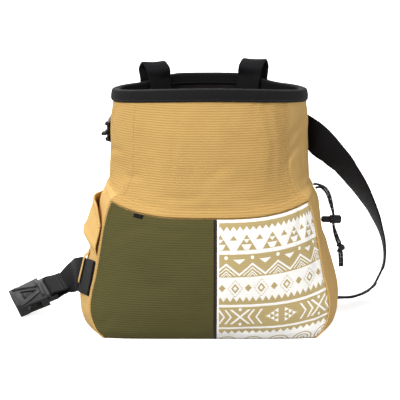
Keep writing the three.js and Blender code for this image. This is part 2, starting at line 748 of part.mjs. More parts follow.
function buckleSocket() {
  const half = socketWidth / 2;
  const body = socketLength - socketBar - socketSlot;
  const outer = new THREE.Shape();
  outer.moveTo(-half, 0);
  outer.lineTo(half, 0);
  outer.lineTo(half, body * 0.22);
  outer.lineTo(half - socketWall, body * 0.35);
  outer.lineTo(half - socketWall, body * 0.8);
  outer.lineTo(half - socketWall / 2, socketLength);
  outer.lineTo(-half + socketWall / 2, socketLength);
  outer.lineTo(-half + socketWall, body * 0.8);
  outer.lineTo(-half + socketWall, body * 0.35);
  outer.lineTo(-half, body * 0.22);
  const slot = new THREE.Path();
  const slotHalf = beltWidth / 2 + 1;
  slot.moveTo(-slotHalf, body);
  slot.lineTo(slotHalf, body);
  slot.lineTo(slotHalf, body + socketSlot);
  slot.lineTo(-slotHalf, body + socketSlot);
  outer.holes.push(slot);
  const solid = new THREE.ExtrudeGeometry(outer, { depth: socketThickness, bevelEnabled: false });
  solid.translate(0, 0, -socketThickness / 2);
  const mouth = [socketWidth - 4 * socketWall, body - socketWall, socketThickness - 2 * socketWall];
  const window = new THREE.Shape();
  window.moveTo(-half * 0.42, body * 0.3);
  window.lineTo(half * 0.42, body * 0.3);
  window.lineTo(0, body * 0.78);
  const windowCut = new THREE.ExtrudeGeometry(window, { depth: socketThickness, bevelEnabled: false });
  const barDrop = (socketThickness - socketBar) / 2;
  const barRegion = [socketWidth + 2, socketLength - body + 4, barDrop];
  const barMiddle = body - 1 + barRegion[1] / 2;
  const barLift = (socketBar + barDrop) / 2;
  const cutters = [
    boxAt(mouth, [0, mouth[1] / 2 - 0.01, 0]),
    boxAt([socketWidth + 2, body * 0.42, socketThickness - 2 * socketWall], [0, body * 0.52, 0]),
    windowCut,
    boxAt(barRegion, [0, barMiddle, barLift]),
    boxAt(barRegion, [0, barMiddle, -barLift]),
  ];
  return placeInSocketFrame(cutAway(solid, cutters));
}

function bucklePlug() {
  const [half, long] = [plugWidth / 2, plugLength / 2];
  const outer = new THREE.Shape();
  outer.moveTo(-long, -half);
  outer.lineTo(-long * 0.1, -half);
  outer.lineTo(long * 0.7, -half * 0.95);
  outer.lineTo(long * 0.7, -half * 0.62);
  outer.lineTo(long * 0.1, -half * 0.5);
  outer.lineTo(long * 0.1, -half * 0.22);
  outer.lineTo(long, -half * 0.16);
  outer.lineTo(long, half * 0.16);
  outer.lineTo(long * 0.1, half * 0.22);
  outer.lineTo(long * 0.1, half * 0.5);
  outer.lineTo(long * 0.7, half * 0.62);
  outer.lineTo(long * 0.7, half * 0.95);
  outer.lineTo(-long * 0.1, half);
  outer.lineTo(-long, half);
  const solid = new THREE.ExtrudeGeometry(outer, { depth: plugThickness, bevelEnabled: false });
  solid.translate(0, 0, -plugThickness / 2);
  const { along, middle } = plugFrame();
  const face = along.clone().cross(up).normalize();
  const matrix = new THREE.Matrix4().makeBasis(along, up, face).setPosition(middle);
  return solid.applyMatrix4(matrix);
}

// Drawcord and cord lock

function cordStrand(side) {
  const shift = cordDepth + (side * cordSpacing) / 2;
  const start = side < 0 ? cordStarts.front : cordStarts.back;
  const points = start.map(([x, z]) => new THREE.Vector3(x, shift, z));
  cordRoute.forEach(([x, z, turn], index) => {
    const [before, after] = [cordRoute[Math.max(0, index - 1)], cordRoute[Math.min(cordRoute.length - 1, index + 1)]];
    const aside = new THREE.Vector3(before[1] - after[1], 0, after[0] - before[0]).normalize();
    const angle = THREE.MathUtils.degToRad(turn);
    const away = (-side * cordSpacing) / 2;
    const middle = new THREE.Vector3(x, cordDepth - away * Math.sin(angle), z);
    points.push(middle.addScaledVector(aside, away * Math.cos(angle)));
  });
  return tubeSolid(points, cordDiameter, 8, 24);
}

function cordTail(side) {
  const points = tailRoute.map(([x, z]) => new THREE.Vector3(x - (side * cordSpacing) / 2, cordDepth, z));
  return tubeSolid(points, cordDiameter, 8, 4);
}

function drawcordKnot() {
  const shape = new THREE.IcosahedronGeometry(0.5, 1).scale(...knotSize);
  return shape.translate(knotPlace[0], cordDepth, knotPlace[1]);
}

const lockMouth = 3.6;

function placeLock(geometry) {
  return geometry.translate(lockMiddle[0] - lockMouth, cordDepth, lockMiddle[1]);
}

function turnToX(geometry) {
  return geometry.rotateZ(-Math.PI / 2);
}

function lathe(profile, segments) {
  return new THREE.LatheGeometry(profile.map(([r, y]) => new THREE.Vector2(r, y)), segments);
}

function lockBody() {
  const [outer, bore] = [lockDiameter / 2, lockBore / 2];
  const round = 1.6;
  const cup = turnToX(lathe([
    [0, lockLength - lockEnd], [bore, lockLength - lockEnd], [bore, 0],
    [outer, 0], [outer, lockLength - round], [outer - round, lockLength], [0, lockLength],
  ], 16));
  const slot = [cordDiameter + 2 * clearance, cordSpacing + cordDiameter + 2 * clearance, lockDiameter + 2];
  return placeLock(cutAway(cup, [boxAt(slot, [lockMouth, 0, 0])]));
}

function lockPlunger() {
  const outer = plungerDiameter / 2;
  const round = 1.6;
  const rod = turnToX(lathe([
    [0, -plungerReach], [outer - round, -plungerReach],
    [outer, round - plungerReach], [outer, plungerDepth], [0, plungerDepth],
  ], 16));
  const slotLength = cordDiameter + 2 * clearance + plungerTravel;
  const slot = [slotLength, cordSpacing + cordDiameter + 2 * clearance, plungerDiameter + 2];
  const slotMiddle = lockMouth + cordDiameter / 2 + clearance - slotLength / 2;
  return placeLock(cutAway(rod, [boxAt(slot, [slotMiddle, 0, 0])]));
}

// Assembly

const bag = new THREE.Group();

function addPiece(name, geometry, material) {
  const mesh = new THREE.Mesh(geometry, materials[material]);
  mesh.name = name;
  bag.add(mesh);
}

const panelFaces = [0, -pocketWall];
const zipFaces = [-zipSink, -zipSink - zipWall];
const zipHalf = zipWidth / 2;

addPiece('body_shell', bodyShell(), 'canvas');
addPiece('lining', lining(), 'lining');
addPiece('rim_binding', rimBinding(), 'binding');
addPiece('pocket_olive', frontPanel(null, pocketSplit - zipHalf - clearance, panelFaces), 'olive');
addPiece('pocket_print', frontPanel(pocketSplit + zipHalf + clearance, null, panelFaces), 'print');
addPiece('pocket_zip', frontPanel(pocketSplit - zipHalf, pocketSplit + zipHalf, zipFaces), 'zip');
addPiece('pocket_tab', pocketTab(), 'webbing');
addPiece('side_pocket', sidePocket(), 'canvas');
addPiece('side_flap', sideFlap(), 'canvas');
addPiece('haul_loop_left', haulLoop(haulPlaceLeft), 'webbing');
addPiece('haul_loop_right', haulLoop(haulPlaceRight), 'webbing');
addPiece('belt_long', longBelt(), 'webbing');
addPiece('belt_short', beltShort(), 'webbing');
addPiece('belt_keeper_left', beltKeeper(-keeperPlace, beltHeight, keeperWidth, beltStandoff), 'webbing');
addPiece('belt_keeper_right', beltKeeper(keeperPlace, beltHeight, keeperWidth, beltStandoff), 'webbing');
addPiece('buckle_socket', buckleSocket(), 'plastic');
addPiece('buckle_plug', bucklePlug(), 'plastic');
addPiece('drawcord_front', cordStrand(-1), 'cord');
addPiece('drawcord_back', cordStrand(1), 'cord');
addPiece('drawcord_knot', drawcordKnot(), 'cord');
addPiece('cord_tail_front', cordTail(-1), 'cord');
addPiece('cord_tail_back', cordTail(1), 'cord');
addPiece('cord_lock_body', lockBody(), 'plastic');
addPiece('cord_lock_plunger', lockPlunger(), 'plastic');

export default bag;
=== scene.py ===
# A free-standing climbing chalk bag: ribbed canvas bucket, bound rim, two pocket panels, a side pocket,
# haul loops, a webbing waist belt with a side-release buckle and a drawcord with a spring cord lock.
# Metres, +Z up, the pocket panels towards -Y. The tables below hold millimetres and shares of the sizes.

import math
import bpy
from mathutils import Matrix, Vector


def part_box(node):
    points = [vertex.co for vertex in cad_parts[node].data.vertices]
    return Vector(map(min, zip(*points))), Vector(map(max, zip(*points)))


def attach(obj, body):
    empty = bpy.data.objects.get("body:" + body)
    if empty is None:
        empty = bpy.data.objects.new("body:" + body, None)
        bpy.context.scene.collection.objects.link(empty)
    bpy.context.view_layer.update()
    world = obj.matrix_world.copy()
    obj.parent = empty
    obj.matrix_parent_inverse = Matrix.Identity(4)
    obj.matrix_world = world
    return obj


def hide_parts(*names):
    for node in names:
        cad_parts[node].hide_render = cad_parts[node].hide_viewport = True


bl_info = {
    "name": "Chalk Bag",
    "version": (1, 0, 0),
    "blender": (4, 5, 0),
    "location": "View3D > Sidebar > Chalk Bag",
    "description": "Builds a canvas chalk bag piece by piece over its packed frame",
    "category": "Object",
}

from functools import partialmethod

import bmesh
import bpy
import numpy as np
from mathutils import Matrix, Vector

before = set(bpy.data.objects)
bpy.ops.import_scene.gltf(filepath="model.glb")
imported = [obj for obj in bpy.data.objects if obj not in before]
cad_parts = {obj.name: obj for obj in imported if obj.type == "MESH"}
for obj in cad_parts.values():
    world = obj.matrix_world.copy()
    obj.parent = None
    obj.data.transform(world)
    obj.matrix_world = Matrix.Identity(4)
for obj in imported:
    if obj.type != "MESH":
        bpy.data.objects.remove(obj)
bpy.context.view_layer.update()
BODY = "bag"
MM = 0.001

# Sections of the cloth body from the floor (level 0) over the waist seam (1) to the rim (2).
SECTION_KEYS = ("level", "girth", "depth", "corner", "turn", "flat", "bow")
SECTIONS = np.array([
    (0.0, 0.92, 0.25, 0.79, 0.96, 6.0, 1.6),
    (0.045, 0.97, 0.56, 0.83, 0.93, 5.0, 1.6),
    (0.12, 1.0, 0.81, 0.868, 0.86, 4.0, 1.6),
    (0.22, 1.0, 1.0, 0.89, 0.8, 3.4, 1.6),
    (0.33, 0.9, 1.0, 0.897, 0.74, 3.2, 1.6),
    (0.45, 0.74, 0.98, 0.9, 0.69, 3.0, 1.7),
    (0.57, 0.57, 0.88, 0.912, 0.66, 2.8, 1.75),
    (0.7, 0.35, 0.69, 0.937, 0.63, 2.7, 1.8),
    (0.82, 0.28, 0.5, 0.928, 0.6, 2.6, 1.85),
    (0.93, 0.18, 0.25, 0.918, 0.59, 2.5, 1.9),
    (1.0, 0.0, 0.0, 0.93, 0.6, 2.5, 2.0),
    (1.08, 0.27, 0.14, 0.86, 0.61, 2.4, 2.05),
    (1.25, 0.44, 0.32, 0.8, 0.62, 2.3, 2.1),
    (1.45, 0.54, 0.45, 0.78, 0.62, 2.3, 2.1),
    (1.7, 0.62, 0.64, 0.78, 0.62, 2.3, 2.1),
    (1.88, 0.85, 0.82, 0.78, 0.62, 2.3, 2.1),
    (2.0, 1.0, 1.0, 0.78, 0.62, 2.3, 2.1),
])
WAIST_ROW = 10

# Large folds: place, level, across, tall, swell as a share of the wall.
FOLDS = (
    (-0.42, 1.62, 0.2, 0.3, 0.6),
    (0.72, 1.5, 0.2, 0.4, 0.7),
    (1.35, 1.5, 0.35, 0.22, -0.9),
    (-1.2, 1.22, 0.25, 0.14, -0.9),
    (0.1, 0.5, 0.5, 0.28, 0.9),
    (-0.62, 0.72, 0.3, 0.16, 0.7),
    (2.8, 0.6, 0.4, 0.2, -1.0),
    (-3.1, 0.45, 0.5, 0.2, -0.9),
    (4.0, 1.4, 0.5, 0.25, -0.7),
)

# Creases pressed into the cloth: place, level, slant in degrees from upright, half length and half
# width in millimetres, depth in millimetres (a negative depth stands proud).
CREASES = (
    (-0.43, 1.55, 4, 34, 3.2, 0.9),
    (0.76, 1.6, -3, 42, 3.4, 1.0),
    (1.12, 1.42, 62, 16, 4.0, 1.7),
    (1.25, 1.62, 50, 20, 5.0, 1.4),
    (-0.93, 1.25, 78, 11, 4.0, 1.3),
    (-0.86, 1.5, 10, 26, 4.5, 1.0),
    (0.22, 1.9, 12, 9, 2.2, 0.7),
    (0.55, 1.9, -8, 10, 2.4, 0.7),
    (0.66, 1.91, 6, 9, 2.0, 0.6),
    (-0.15, 1.92, -10, 8, 2.2, 0.5),
    (-0.3, 1.16, 80, 24, 4.0, 0.8),
    (0.45, 1.12, 84, 22, 3.6, 0.7),
    (0.1, 1.35, 70, 26, 5.0, 0.5),
    (1.5, 1.18, 75, 16, 4.0, 1.2),
    (1.7, 1.75, 30, 18, 5.0, 1.0),
    (2.3, 1.3, 60, 20, 5.0, 1.1),
    (-1.6, 1.7, 25, 18, 5.0, 1.0),
    (-1.5, 1.4, 70, 16, 4.0, 1.1),
    (-2.4, 1.25, 68, 18, 5.0, 1.2),
    (3.3, 1.2, 82, 26, 5.0, 1.0),
    (-3.5, 1.3, 76, 28, 6.0, 0.9),
    (4.0, 1.1, 88, 30, 4.0, 0.8),
    (3.6, 0.7, 20, 30, 7.0, 1.4),
    (-3.6, 0.62, -18, 32, 7.0, 1.5),
    (4.0, 0.35, 85, 34, 7.0, 1.1),
    (1.5, 0.75, 55, 20, 6.0, 1.3),
    (1.35, 0.4, 25, 26, 6.0, 1.2),
    (2.5, 0.45, -20, 26, 6.0, 1.2),
    (-2.6, 0.4, 22, 26, 6.0, 1.2),
    (-1.4, 0.2, 70, 16, 5.0, 1.2),
    (-0.9, 0.1, 48, 15, 3.0, 0.9),
    (-0.72, 0.85, 65, 20, 4.5, 0.8),
    (-0.35, 0.9, 80, 18, 4.0, 0.6),
    (-0.5, 0.45, 72, 26, 8.0, 0.6),
    (0.86, 0.9, 30, 12, 3.5, 0.8),
    (0.94, 0.62, 8, 18, 4.0, 0.8),
    (0.9, 0.3, -12, 20, 5.0, 0.9),
    (0.55, 0.93, 78, 14, 3.2, 0.5),
    (0.45, 0.07, 84, 24, 3.0, 0.6),
)

# Side pocket rows (share of its height, standoff) and columns (place, mouth level, puff).
POCKET_ROWS = np.array([
    (0.0, 0.0), (0.07, 0.42), (0.18, 1.0), (0.44, 0.93), (0.62, 0.76), (0.82, 0.56), (1.0, 0.47),
])
POCKET_COLUMNS = np.array([
    (-1.04, 0.8, 0.2), (-1.2, 0.86, 0.6), (-1.4, 0.9, 0.85), (-1.6, 0.905, 1.0), (-1.8, 0.905, 1.0),
    (-2.0, 0.905, 0.95), (-2.2, 0.905, 0.75), (-2.4, 0.905, 0.35), (-2.6, 0.905, 0.0),
])
POCKET_BOTTOM = 0.59
POCKET_STANDOFF = 10.5
POCKET_SEAT = 0.6
POCKET_LEAST_GAP = 0.45
POCKET_WALL = 1.2
POCKET_HEM = 0.7
FLAP_WALL = 1.2
POCKET_STITCH_SHARE, POCKET_STITCH_LIFT = 0.9, 0.35
POCKET_MAP_REACH = 58

# The belt's free loop: out and back as shares of the half base, up of the belt's height, turn in degrees.
BELT_LOOP = (
    (1.14, 0.3, 0.058, 90), (1.235, 0.41, 0.062, 90), (1.322, 0.52, 0.085, 90), (1.38, 0.58, 0.142, 90),
    (1.407, 0.56, 0.213, 90), (1.402, 0.48, 0.284, 87), (1.366, 0.345, 0.383, 80), (1.308, 0.22, 0.488, 72),
    (1.241, 0.123, 0.588, 65), (1.143, 0.05, 0.704, 55), (1.032, 0.0, 0.811, 48), (0.94, -0.012, 0.881, 35),
    (0.856, 0.02, 0.935, 15), (0.79, 0.09, 0.975, 5),
)
LOOP_LEAN = Vector((-0.18, -0.93, 0.31)).normalized()
BELT_PLACES = (2.5, 2.7, 2.9, 3.15, 3.4, 3.7, 4, -3.7, -3.4, -3.15, -2.9)
SEWN_PLACE, SEWN_HEIGHT = 2.27, 11.5
PLUG_PLACE, KEEPER_PLACE = -2.25, 3.0
HAUL_PLACES = {"left": -3.22, "right": 3.36}
SHORT_BELT = ((-1.04, 0.405), (-1.3, 0.385), (-1.6, 0.355), (-1.8, 0.34))
SHORT_SWING = ((-1.022, -0.05, 0.318, 0.35), (-1.055, 0.1, 0.283, 0.66), (-1.1, 0.2, 0.248, 0.87))
SOCKET_ALONG = Vector((0.889, 0.318, 0.327)).normalized()
SOCKET_ACROSS = Vector((-0.4, 0.89, 0.2))

# The drawcord's route, from the waist seam to the knot and the tails: x and z in millimetres.
CORD_STARTS = {
    "front": ((107.9, 143.3), (111.2, 143.3), (114.9, 142.3)),
    "back": ((110.3, 138.6), (112.8, 139.4), (115.6, 139.5)),
}
# Each row is x, z and how far the pair of strands has turned from lying side by side, in degrees.
CORD_ROUTE = (
    (119.2, 138.6, 0), (122.6, 134.6, 0), (125.2, 128.4, 20), (127.2, 121.0, 50), (129.0, 114.2, 82),
    (129.8, 109.0, 90), (129.8, 102.3, 90), (130.5, 96.8, 82), (132.1, 91.2, 50), (134.5, 84.0, 20),
    (136.4, 79.7, 10),
)
KNOT_PLACE = (137.8, 74.3)
TAIL_ROUTE = ((138.5, 68.3), (139.1, 61.8), (139.4, 53.9))
CORD_DEPTH, CORD_SPACING = -2.0, 2.52
# Each turn of the knot: tilt in degrees, radius and squeeze as shares of the knot's half size.
KNOT_TURNS = ((18, 0.62, 0.35), (-32, 0.66, -0.3), (78, 0.6, 0.05))

# The studio: the camera solved from the photograph; each light's place, aim, size and power.
CAMERA_PLACE, CAMERA_DIP, CAMERA_LENS = (-0.0096, -1.125, 0.407), 14.05, 100.1
LIGHTS = {
    "key": ((-1.55, -1.75, 1.9), (0, 0, 0.12), 1.5, 98),
    "fill": ((2.0, -1.6, 0.9), (0, 0, 0.12), 1.8, 24),
    "top": ((-0.3, 0.4, 2.4), (0, 0, 0.1), 1.8, 16),
    "back": ((-0.8, 2.2, 1.5), (0, 0, 0.15), 1.8, 40),
}
WORLD_STRENGTH, FLOOR_GLOW, BACKDROP_GLOW = 0.36, 0.74, 1.0
FLOOR_HALF, FLOOR_DROP, BACKDROP_RADIUS = 7, 0.0002, 6.9

# Pitches of the weaves in millimetres, and the full turn of a wave.
CANVAS_THREAD, TWILL_LINE, WEBBING_ROW, TAPE_RIB, TAPE_THREAD = 0.62, 1.1, 1.9, 1.05, 0.6
BRAID_STRANDS, BRAID_PITCH = 4, 2.6
TURN = 2 * math.pi

# The folded hem over the waist seam and the groove above it, as levels of the body.
HEM_LEVEL, HEM_SPREAD = 1.012, 0.03
GROOVE_LEVEL, GROOVE_SPREAD, GROOVE_DEPTH = 1.075, 0.012, 0.9
# How far the corner seams stand proud below and above the waist, in millimetres.
RIDGE_BELOW, RIDGE_ABOVE = 0.75, 0.22
# Level at which the lining turns into its floor, the floor's reach in the canvas map, and how far the
# lining's floor stands up in its middle, in millimetres.
LINING_FOOT, FLOOR_REACH = 0.045, 70
LINING_SAG = 0.4

# The small tab: its middle and half height as levels, its half width, fullness and gap in millimetres.
TAB_LEVEL, TAB_RISE, TAB_HALF, TAB_PUFF, TAB_GAP = 0.971, 0.015, 4.4, 0.55, 0.55

# Rows of stitches: distance from an edge, and lift off the webbing, in millimetres.
RIM_STITCH_INSET, HAUL_STITCH_INSET = 1.9, 2.2
THREAD_LIFT = 0.15
# How much lighter the thread is than the rim binding and than the webbing.
THREAD_LIGHTER, THREAD_LIGHTEST = 1.9, 2.2

# Sizes of the hard pieces in millimetres, as in the solids.
PLUG_THICKNESS, PLUG_LENGTH, PLUG_GUIDE, PLUG_ROOT = 5.0, 40.0, 5.0, 4.0
SOCKET_BAR, SOCKET_BAR_SIZE = 42.0, 4.0
SOCKET_MOUTH = (-1.5216, 0.02, 10.4)
# Ribs of the socket: points across, along and above it, then width and thickness.
FRONT_BAR = ((-20, 35.7, 0), (0, 35.9, 0), (20, 35.7, 0)), (2.3, 6.0)
SOCKET_RIBS = (
    (((-21.5, 1.9, 5.3), (0, 1.9, 5.5), (21.5, 1.9, 5.3)), (3.0, 1.8)),
    (((-17, 30, 5.1), (0, 31.5, 5.4), (17, 30, 5.1)), (3.6, 1.6)),
    (((20.6, 4.0, 5.3), (13.5, 16, 5.6), (5.5, 29, 5.3)), (3.2, 1.8)),
    (((-20.6, 4.0, 5.3), (-13.5, 16, 5.6), (-5.5, 29, 5.3)), (3.2, 1.8)),
)
GRIP_SIDE, GRIP_START, GRIP_STEP, GRIP_SIZE = 21.0, 13.5, 3.1, (1.3, 1.6)


# Every size of the bag in millimetres, with what it measures.
SIZES = {
    "bag_height": (251, "Height of the rim above the floor"),
    "mouth_width": (194, "Width of the cloth at the rim"),
    "mouth_depth": (124, "Depth of the cloth at the rim"),
    "waist_width": (213, "Width of the cloth at the waist seam"),
    "waist_depth": (146, "Depth of the cloth at the waist seam"),
    "base_width": (273, "Width of the cloth near the floor"),
    "base_depth": (163, "Depth of the cloth near the floor"),
    "waist_front": (125.3, "Height of the waist seam in the middle of the front"),
    "waist_corner": (136.4, "Height of the waist seam at the front corners"),
    "waist_side": (143, "Height of the waist seam at the sides and back"),
    "rim_droop": (7.5, "How far the rim falls towards its ends"),
    "shell_wall": (3, "Thickness of the padded canvas wall"),
    "lining_wall": (1.5, "Thickness of the lining"),
    "pocket_wall": (1.2, "Thickness of a front pocket panel"),
    "binding_height": (12, "Height of the rim binding"),
    "binding_wall": (1.5, "Thickness of the rim binding"),
    "clearance": (0.3, "Gap between touching pieces"),
    "rib_pitch": (2.42, "Distance between two ribs of the canvas"),
    "pocket_split": (5.6, "How far right of the middle the pockets part"),
    "strip_width": (2.5, "Width of the dark strip between the pockets"),
    "belt_width": (36, "Width of the waist belt"),
    "belt_thickness": (1.8, "Thickness of the waist belt"),
    "belt_height": (197, "Height of the belt's middle at the back"),
    "belt_standoff": (0.8, "Gap between the belt and the cloth"),
    "haul_width": (25, "Width of the haul loops"),
    "haul_thickness": (1.6, "Thickness of the haul loops"),
    "haul_rise": (17, "How far a haul loop stands above the rim"),
    "keeper_width": (14, "Width of the belt keepers"),
    "keeper_thickness": (1.4, "Thickness of the belt keepers"),
    "flap_width": (9, "Width of the small flap over the short belt"),
    "flap_drop": (34, "Length of the small flap over the short belt"),
    "cord_diameter": (2.5, "Diameter of the drawcord"),
    "stitch_length": (2.2, "Length of one stitch"),
    "stitch_gap": (1.0, "Gap between two stitches"),
    "stitch_thickness": (0.45, "Thickness of the thread"),
    "motif_width": (25.7, "Width of one repeat of the printed bands"),
}

# Every colour as 8-bit display values, with what it paints.
COLOURS = {
    "canvas": ((192, 154, 91), "Ribbed canvas of the front and back"),
    "gusset": ((205, 167, 103), "Twill of the side gussets"),
    "olive": ((81, 76, 40), "Left pocket panel"),
    "ground": ((181, 161, 112), "Ground of the printed panel"),
    "ink": ((244, 241, 236), "White of the printed panel"),
    "binding": ((13, 12, 13), "Rim binding"),
    "lining": ((25, 22, 25), "Lining of the bag"),
    "webbing": ((12, 11, 13), "Belt, loops and keepers"),
    "cord": ((13, 13, 14), "Drawcord"),
    "fleck": ((200, 200, 205), "Light flecks of the drawcord"),
    "plastic": ((10, 10, 11), "Buckle and cord lock"),
    "strip": ((44, 36, 33), "Strip between the pockets"),
    "floor": ((247, 247, 247), "Studio floor"),
}


def label(key):
    return key.replace("_", " ").capitalize()


def linear(red, green, blue):
    """8-bit display values as the linear colour that a shader takes."""
    values = [channel / 255 for channel in (red, green, blue)]
    return tuple(v / 12.92 if v <= 0.04045 else ((v + 0.055) / 1.055) ** 2.4 for v in values)


class ChalkBagSizes(bpy.types.PropertyGroup):
    __annotations__ = {
        key: bpy.props.FloatProperty(
            name=label(key), description=description, default=default * MM,
            min=0.0, unit="LENGTH", precision=4,
        )
        for key, (default, description) in SIZES.items()
    }


class ChalkBagColours(bpy.types.PropertyGroup):
    __annotations__ = {
        key: bpy.props.FloatVectorProperty(
            name=label(key), description=description, default=linear(*default),
            size=3, min=0, max=1, subtype="COLOR",
        )
        for key, (default, description) in COLOURS.items()
    }


def smooth_table(levels, values, at):
    """Values of a table between its rows, smooth through each row."""
    slopes = np.gradient(values, levels)
    index = np.clip(np.searchsorted(levels, at, side="right") - 1, 0, len(levels) - 2)
    span = levels[index + 1] - levels[index]
    t = np.clip((at - levels[index]) / span, 0, 1)
    cubic, square = t ** 3, t ** 2
    return (
        (2 * cubic - 3 * square + 1) * values[index]
        + (cubic - 2 * square + t) * span * slopes[index]
        + (3 * square - 2 * cubic) * values[index + 1]
        + (cubic - square) * span * slopes[index + 1]
    )


def value_noise(u, v, seed):
    """Smooth noise from -1 to 1 over two arrays, one bump to a unit."""
    table = np.random.default_rng(seed).uniform(-1, 1, (64, 64))
    iu, iv = np.floor(u).astype(int), np.floor(v).astype(int)
    fu, fv = u - iu, v - iv
    fu, fv = fu * fu * (3 - 2 * fu), fv * fv * (3 - 2 * fv)
    a, b = table[iu % 64, iv % 64], table[(iu + 1) % 64, iv % 64]
    c, d = table[iu % 64, (iv + 1) % 64], table[(iu + 1) % 64, (iv + 1) % 64]
    return (a * (1 - fu) + b * fu) * (1 - fv) + (c * (1 - fu) + d * fu) * fv


def smoothstep(low, high, value):
    share = np.clip((value - low) / (high - low), 0, 1)
    return share * share * (3 - 2 * share)


class BagForm:
    """The cloth surface. place: 0 front middle, 1 front corner, 2 side, 3 back corner, 4 back middle,
    negative on the left. level: 0 floor, 1 waist seam, 2 rim. Lengths in millimetres."""

    def __init__(self, sizes):
        for key in SIZES:
            setattr(self, key, getattr(sizes, key) / MM)
        self.binding_cover = self.binding_wall + self.clearance
        self.recess = self.pocket_wall + self.clearance

    def section(self, level):
        level = np.asarray(level, float)
        found = {}
        for column, key in enumerate(SECTION_KEYS):
            low = smooth_table(SECTIONS[:WAIST_ROW + 1, 0], SECTIONS[:WAIST_ROW + 1, column], level)
            high = smooth_table(SECTIONS[WAIST_ROW:, 0], SECTIONS[WAIST_ROW:, column], level)
            found[key] = np.where(level < 1, low, high)
        end_width = np.where(level < 1, self.base_width, self.mouth_width)
        end_depth = np.where(level < 1, self.base_depth, self.mouth_depth)
        half_width = (self.waist_width + (end_width - self.waist_width) * found["girth"]) / 2
        half_depth = (self.waist_depth + (end_depth - self.waist_depth) * found["depth"]) / 2
        return half_width, half_depth, half_width * found["corner"], half_depth * found["turn"], found

    def outline(self, place, level):
        half_width, half_depth, corner_x, corner_y, found = self.section(level)
        along = np.abs(place)
        step = np.where(along <= 2, along, 4 - along)
        rest = np.clip(2 - step, 0, 1)
        panel = np.clip(step, 0, 1)
        x = np.where(step <= 1, corner_x * step,
                     corner_x + (half_width - corner_x) * (1 - rest ** found["bow"]))
        front = half_depth - (half_depth - corner_y) * panel ** found["flat"]
        y = np.where(step <= 1, front, corner_y * rest)
        return np.where(place < 0, -x, x), np.where(along <= 2, -y, y)

    def waist(self, place):
        along = np.abs(place)
        front = self.waist_front + (self.waist_corner - self.waist_front) * np.clip(along, 0, 1) ** 3.8
        rise = np.sin(np.pi / 2 * np.clip(along - 1, 0, 1))
        return np.where(along <= 1, front, self.waist_corner + (self.waist_side - self.waist_corner) * rise)

    def rim_top(self, place):
        x, y = self.outline(place, np.full(np.shape(place), 2.0))
        share = np.abs(x) / (self.mouth_width / 2)
        return self.bag_height - self.rim_droop * np.where(y < 0, share ** 2, smoothstep(0.3, 0.8, share))

    def shell_top(self, place):
        return self.rim_top(place) - self.binding_cover

    def level_at(self, place, height):
        waist = self.waist(place)
        return np.where(height <= waist, height / waist,
                        1 + (height - waist) / (self.shell_top(place) - waist))

    def plain(self, place, level):
        place = np.where(place > 4, place - 8, np.where(place < -4, place + 8, place))
        place, level = np.broadcast_arrays(np.asarray(place, float), np.asarray(level, float))
        x, y = self.outline(place, level)
        waist = self.waist(place)
        z = np.where(level <= 1, waist * level, waist + (level - 1) * (self.shell_top(place) - waist))
        return np.stack([x, y, z], -1)

    def outwards(self, place, level):
        small = 0.02
        along = self.plain(place + small, level) - self.plain(place - small, level)
        aloft = self.plain(place, level + small) - self.plain(place, np.maximum(level - small, 0))
        normal = np.cross(along, aloft)
        return normal / np.linalg.norm(normal, axis=-1, keepdims=True)

    def swell(self, place, level):
        total = np.zeros(np.broadcast(place, level).shape)
        for fold_place, fold_level, across, tall, amount in FOLDS:
            raw = np.abs(place - fold_place)
            away = np.minimum(raw, 8 - raw) / across
            aloft = (level - fold_level) / tall
            total += self.shell_wall * amount * np.exp(-away ** 2 - aloft ** 2)
        return total

    def creases(self, place, level):
        """Fine folds of the cloth, mostly pressed inwards."""
        place, level = np.broadcast_arrays(np.asarray(place, float), np.asarray(level, float))
        reach = np.where(np.abs(np.abs(place) - 2) < 1, 58.0, 104.0)
        total = np.zeros(place.shape)
        for crease_place, crease_level, slant, length, width, depth in CREASES:
            raw = place - crease_place
            raw = np.where(raw > 4, raw - 8, np.where(raw < -4, raw + 8, raw)) * reach
            aloft = (level - crease_level) * 118
            turn = math.radians(slant)
            along = aloft * math.cos(turn) + raw * math.sin(turn)
            across = raw * math.cos(turn) - aloft * math.sin(turn)
            across = across + 2.5 * np.sin(along / 11 + crease_place * 7)
            ridge = 0.35 * np.exp(-((across - 1.9 * width) / (1.3 * width)) ** 2)
            dip = np.exp(-(across / width) ** 2) - ridge
            total -= depth * dip * np.exp(-(along / length) ** 4)
        girth = place * 8
        total += 0.32 * value_noise(girth * 0.8 + 90, level * 7 + 9, 3)
        total += 0.16 * value_noise(girth * 2.3 + 90, level * 17 + 5, 5)
        return total * smoothstep(0.0, 0.1, level) * (1 - 0.7 * smoothstep(1.93, 2.0, level))

    def cloth(self, place, level, offset, crease=0.0):
        place, level = np.broadcast_arrays(np.asarray(place, float), np.asarray(level, float))
        total = offset + self.swell(place, level)
        if crease:
            total = total + crease * np.minimum(self.creases(place, level), 0.35)
        return self.plain(place, level) + self.outwards(place, level) * np.asarray(total)[..., None]

    def beside(self, place, height, offset):
        """A point beside the body at a height, offset level with the floor."""
        place, height = np.broadcast_arrays(np.asarray(place, float), np.asarray(height, float))
        level = self.level_at(place, height)
        normal = self.outwards(place, level) * np.array((1, 1, 0))
        normal = normal / np.linalg.norm(normal, axis=-1, keepdims=True)
        point = self.plain(place, level) + normal * (offset + self.swell(place, level))[..., None]
        point[..., 2] = height
        return point

    def beside_vector(self, place, height, offset):
        return Vector(self.beside(np.array(place), np.array(float(height)), offset))

    def along_body(self, place, height):
        level = self.level_at(np.array(place), np.array(float(height)))
        normal = Vector(self.outwards(np.array(float(place)), level))
        return Vector((0, 0, 1)).cross(Vector((normal.x, normal.y, 0))).normalized()


# Meshes


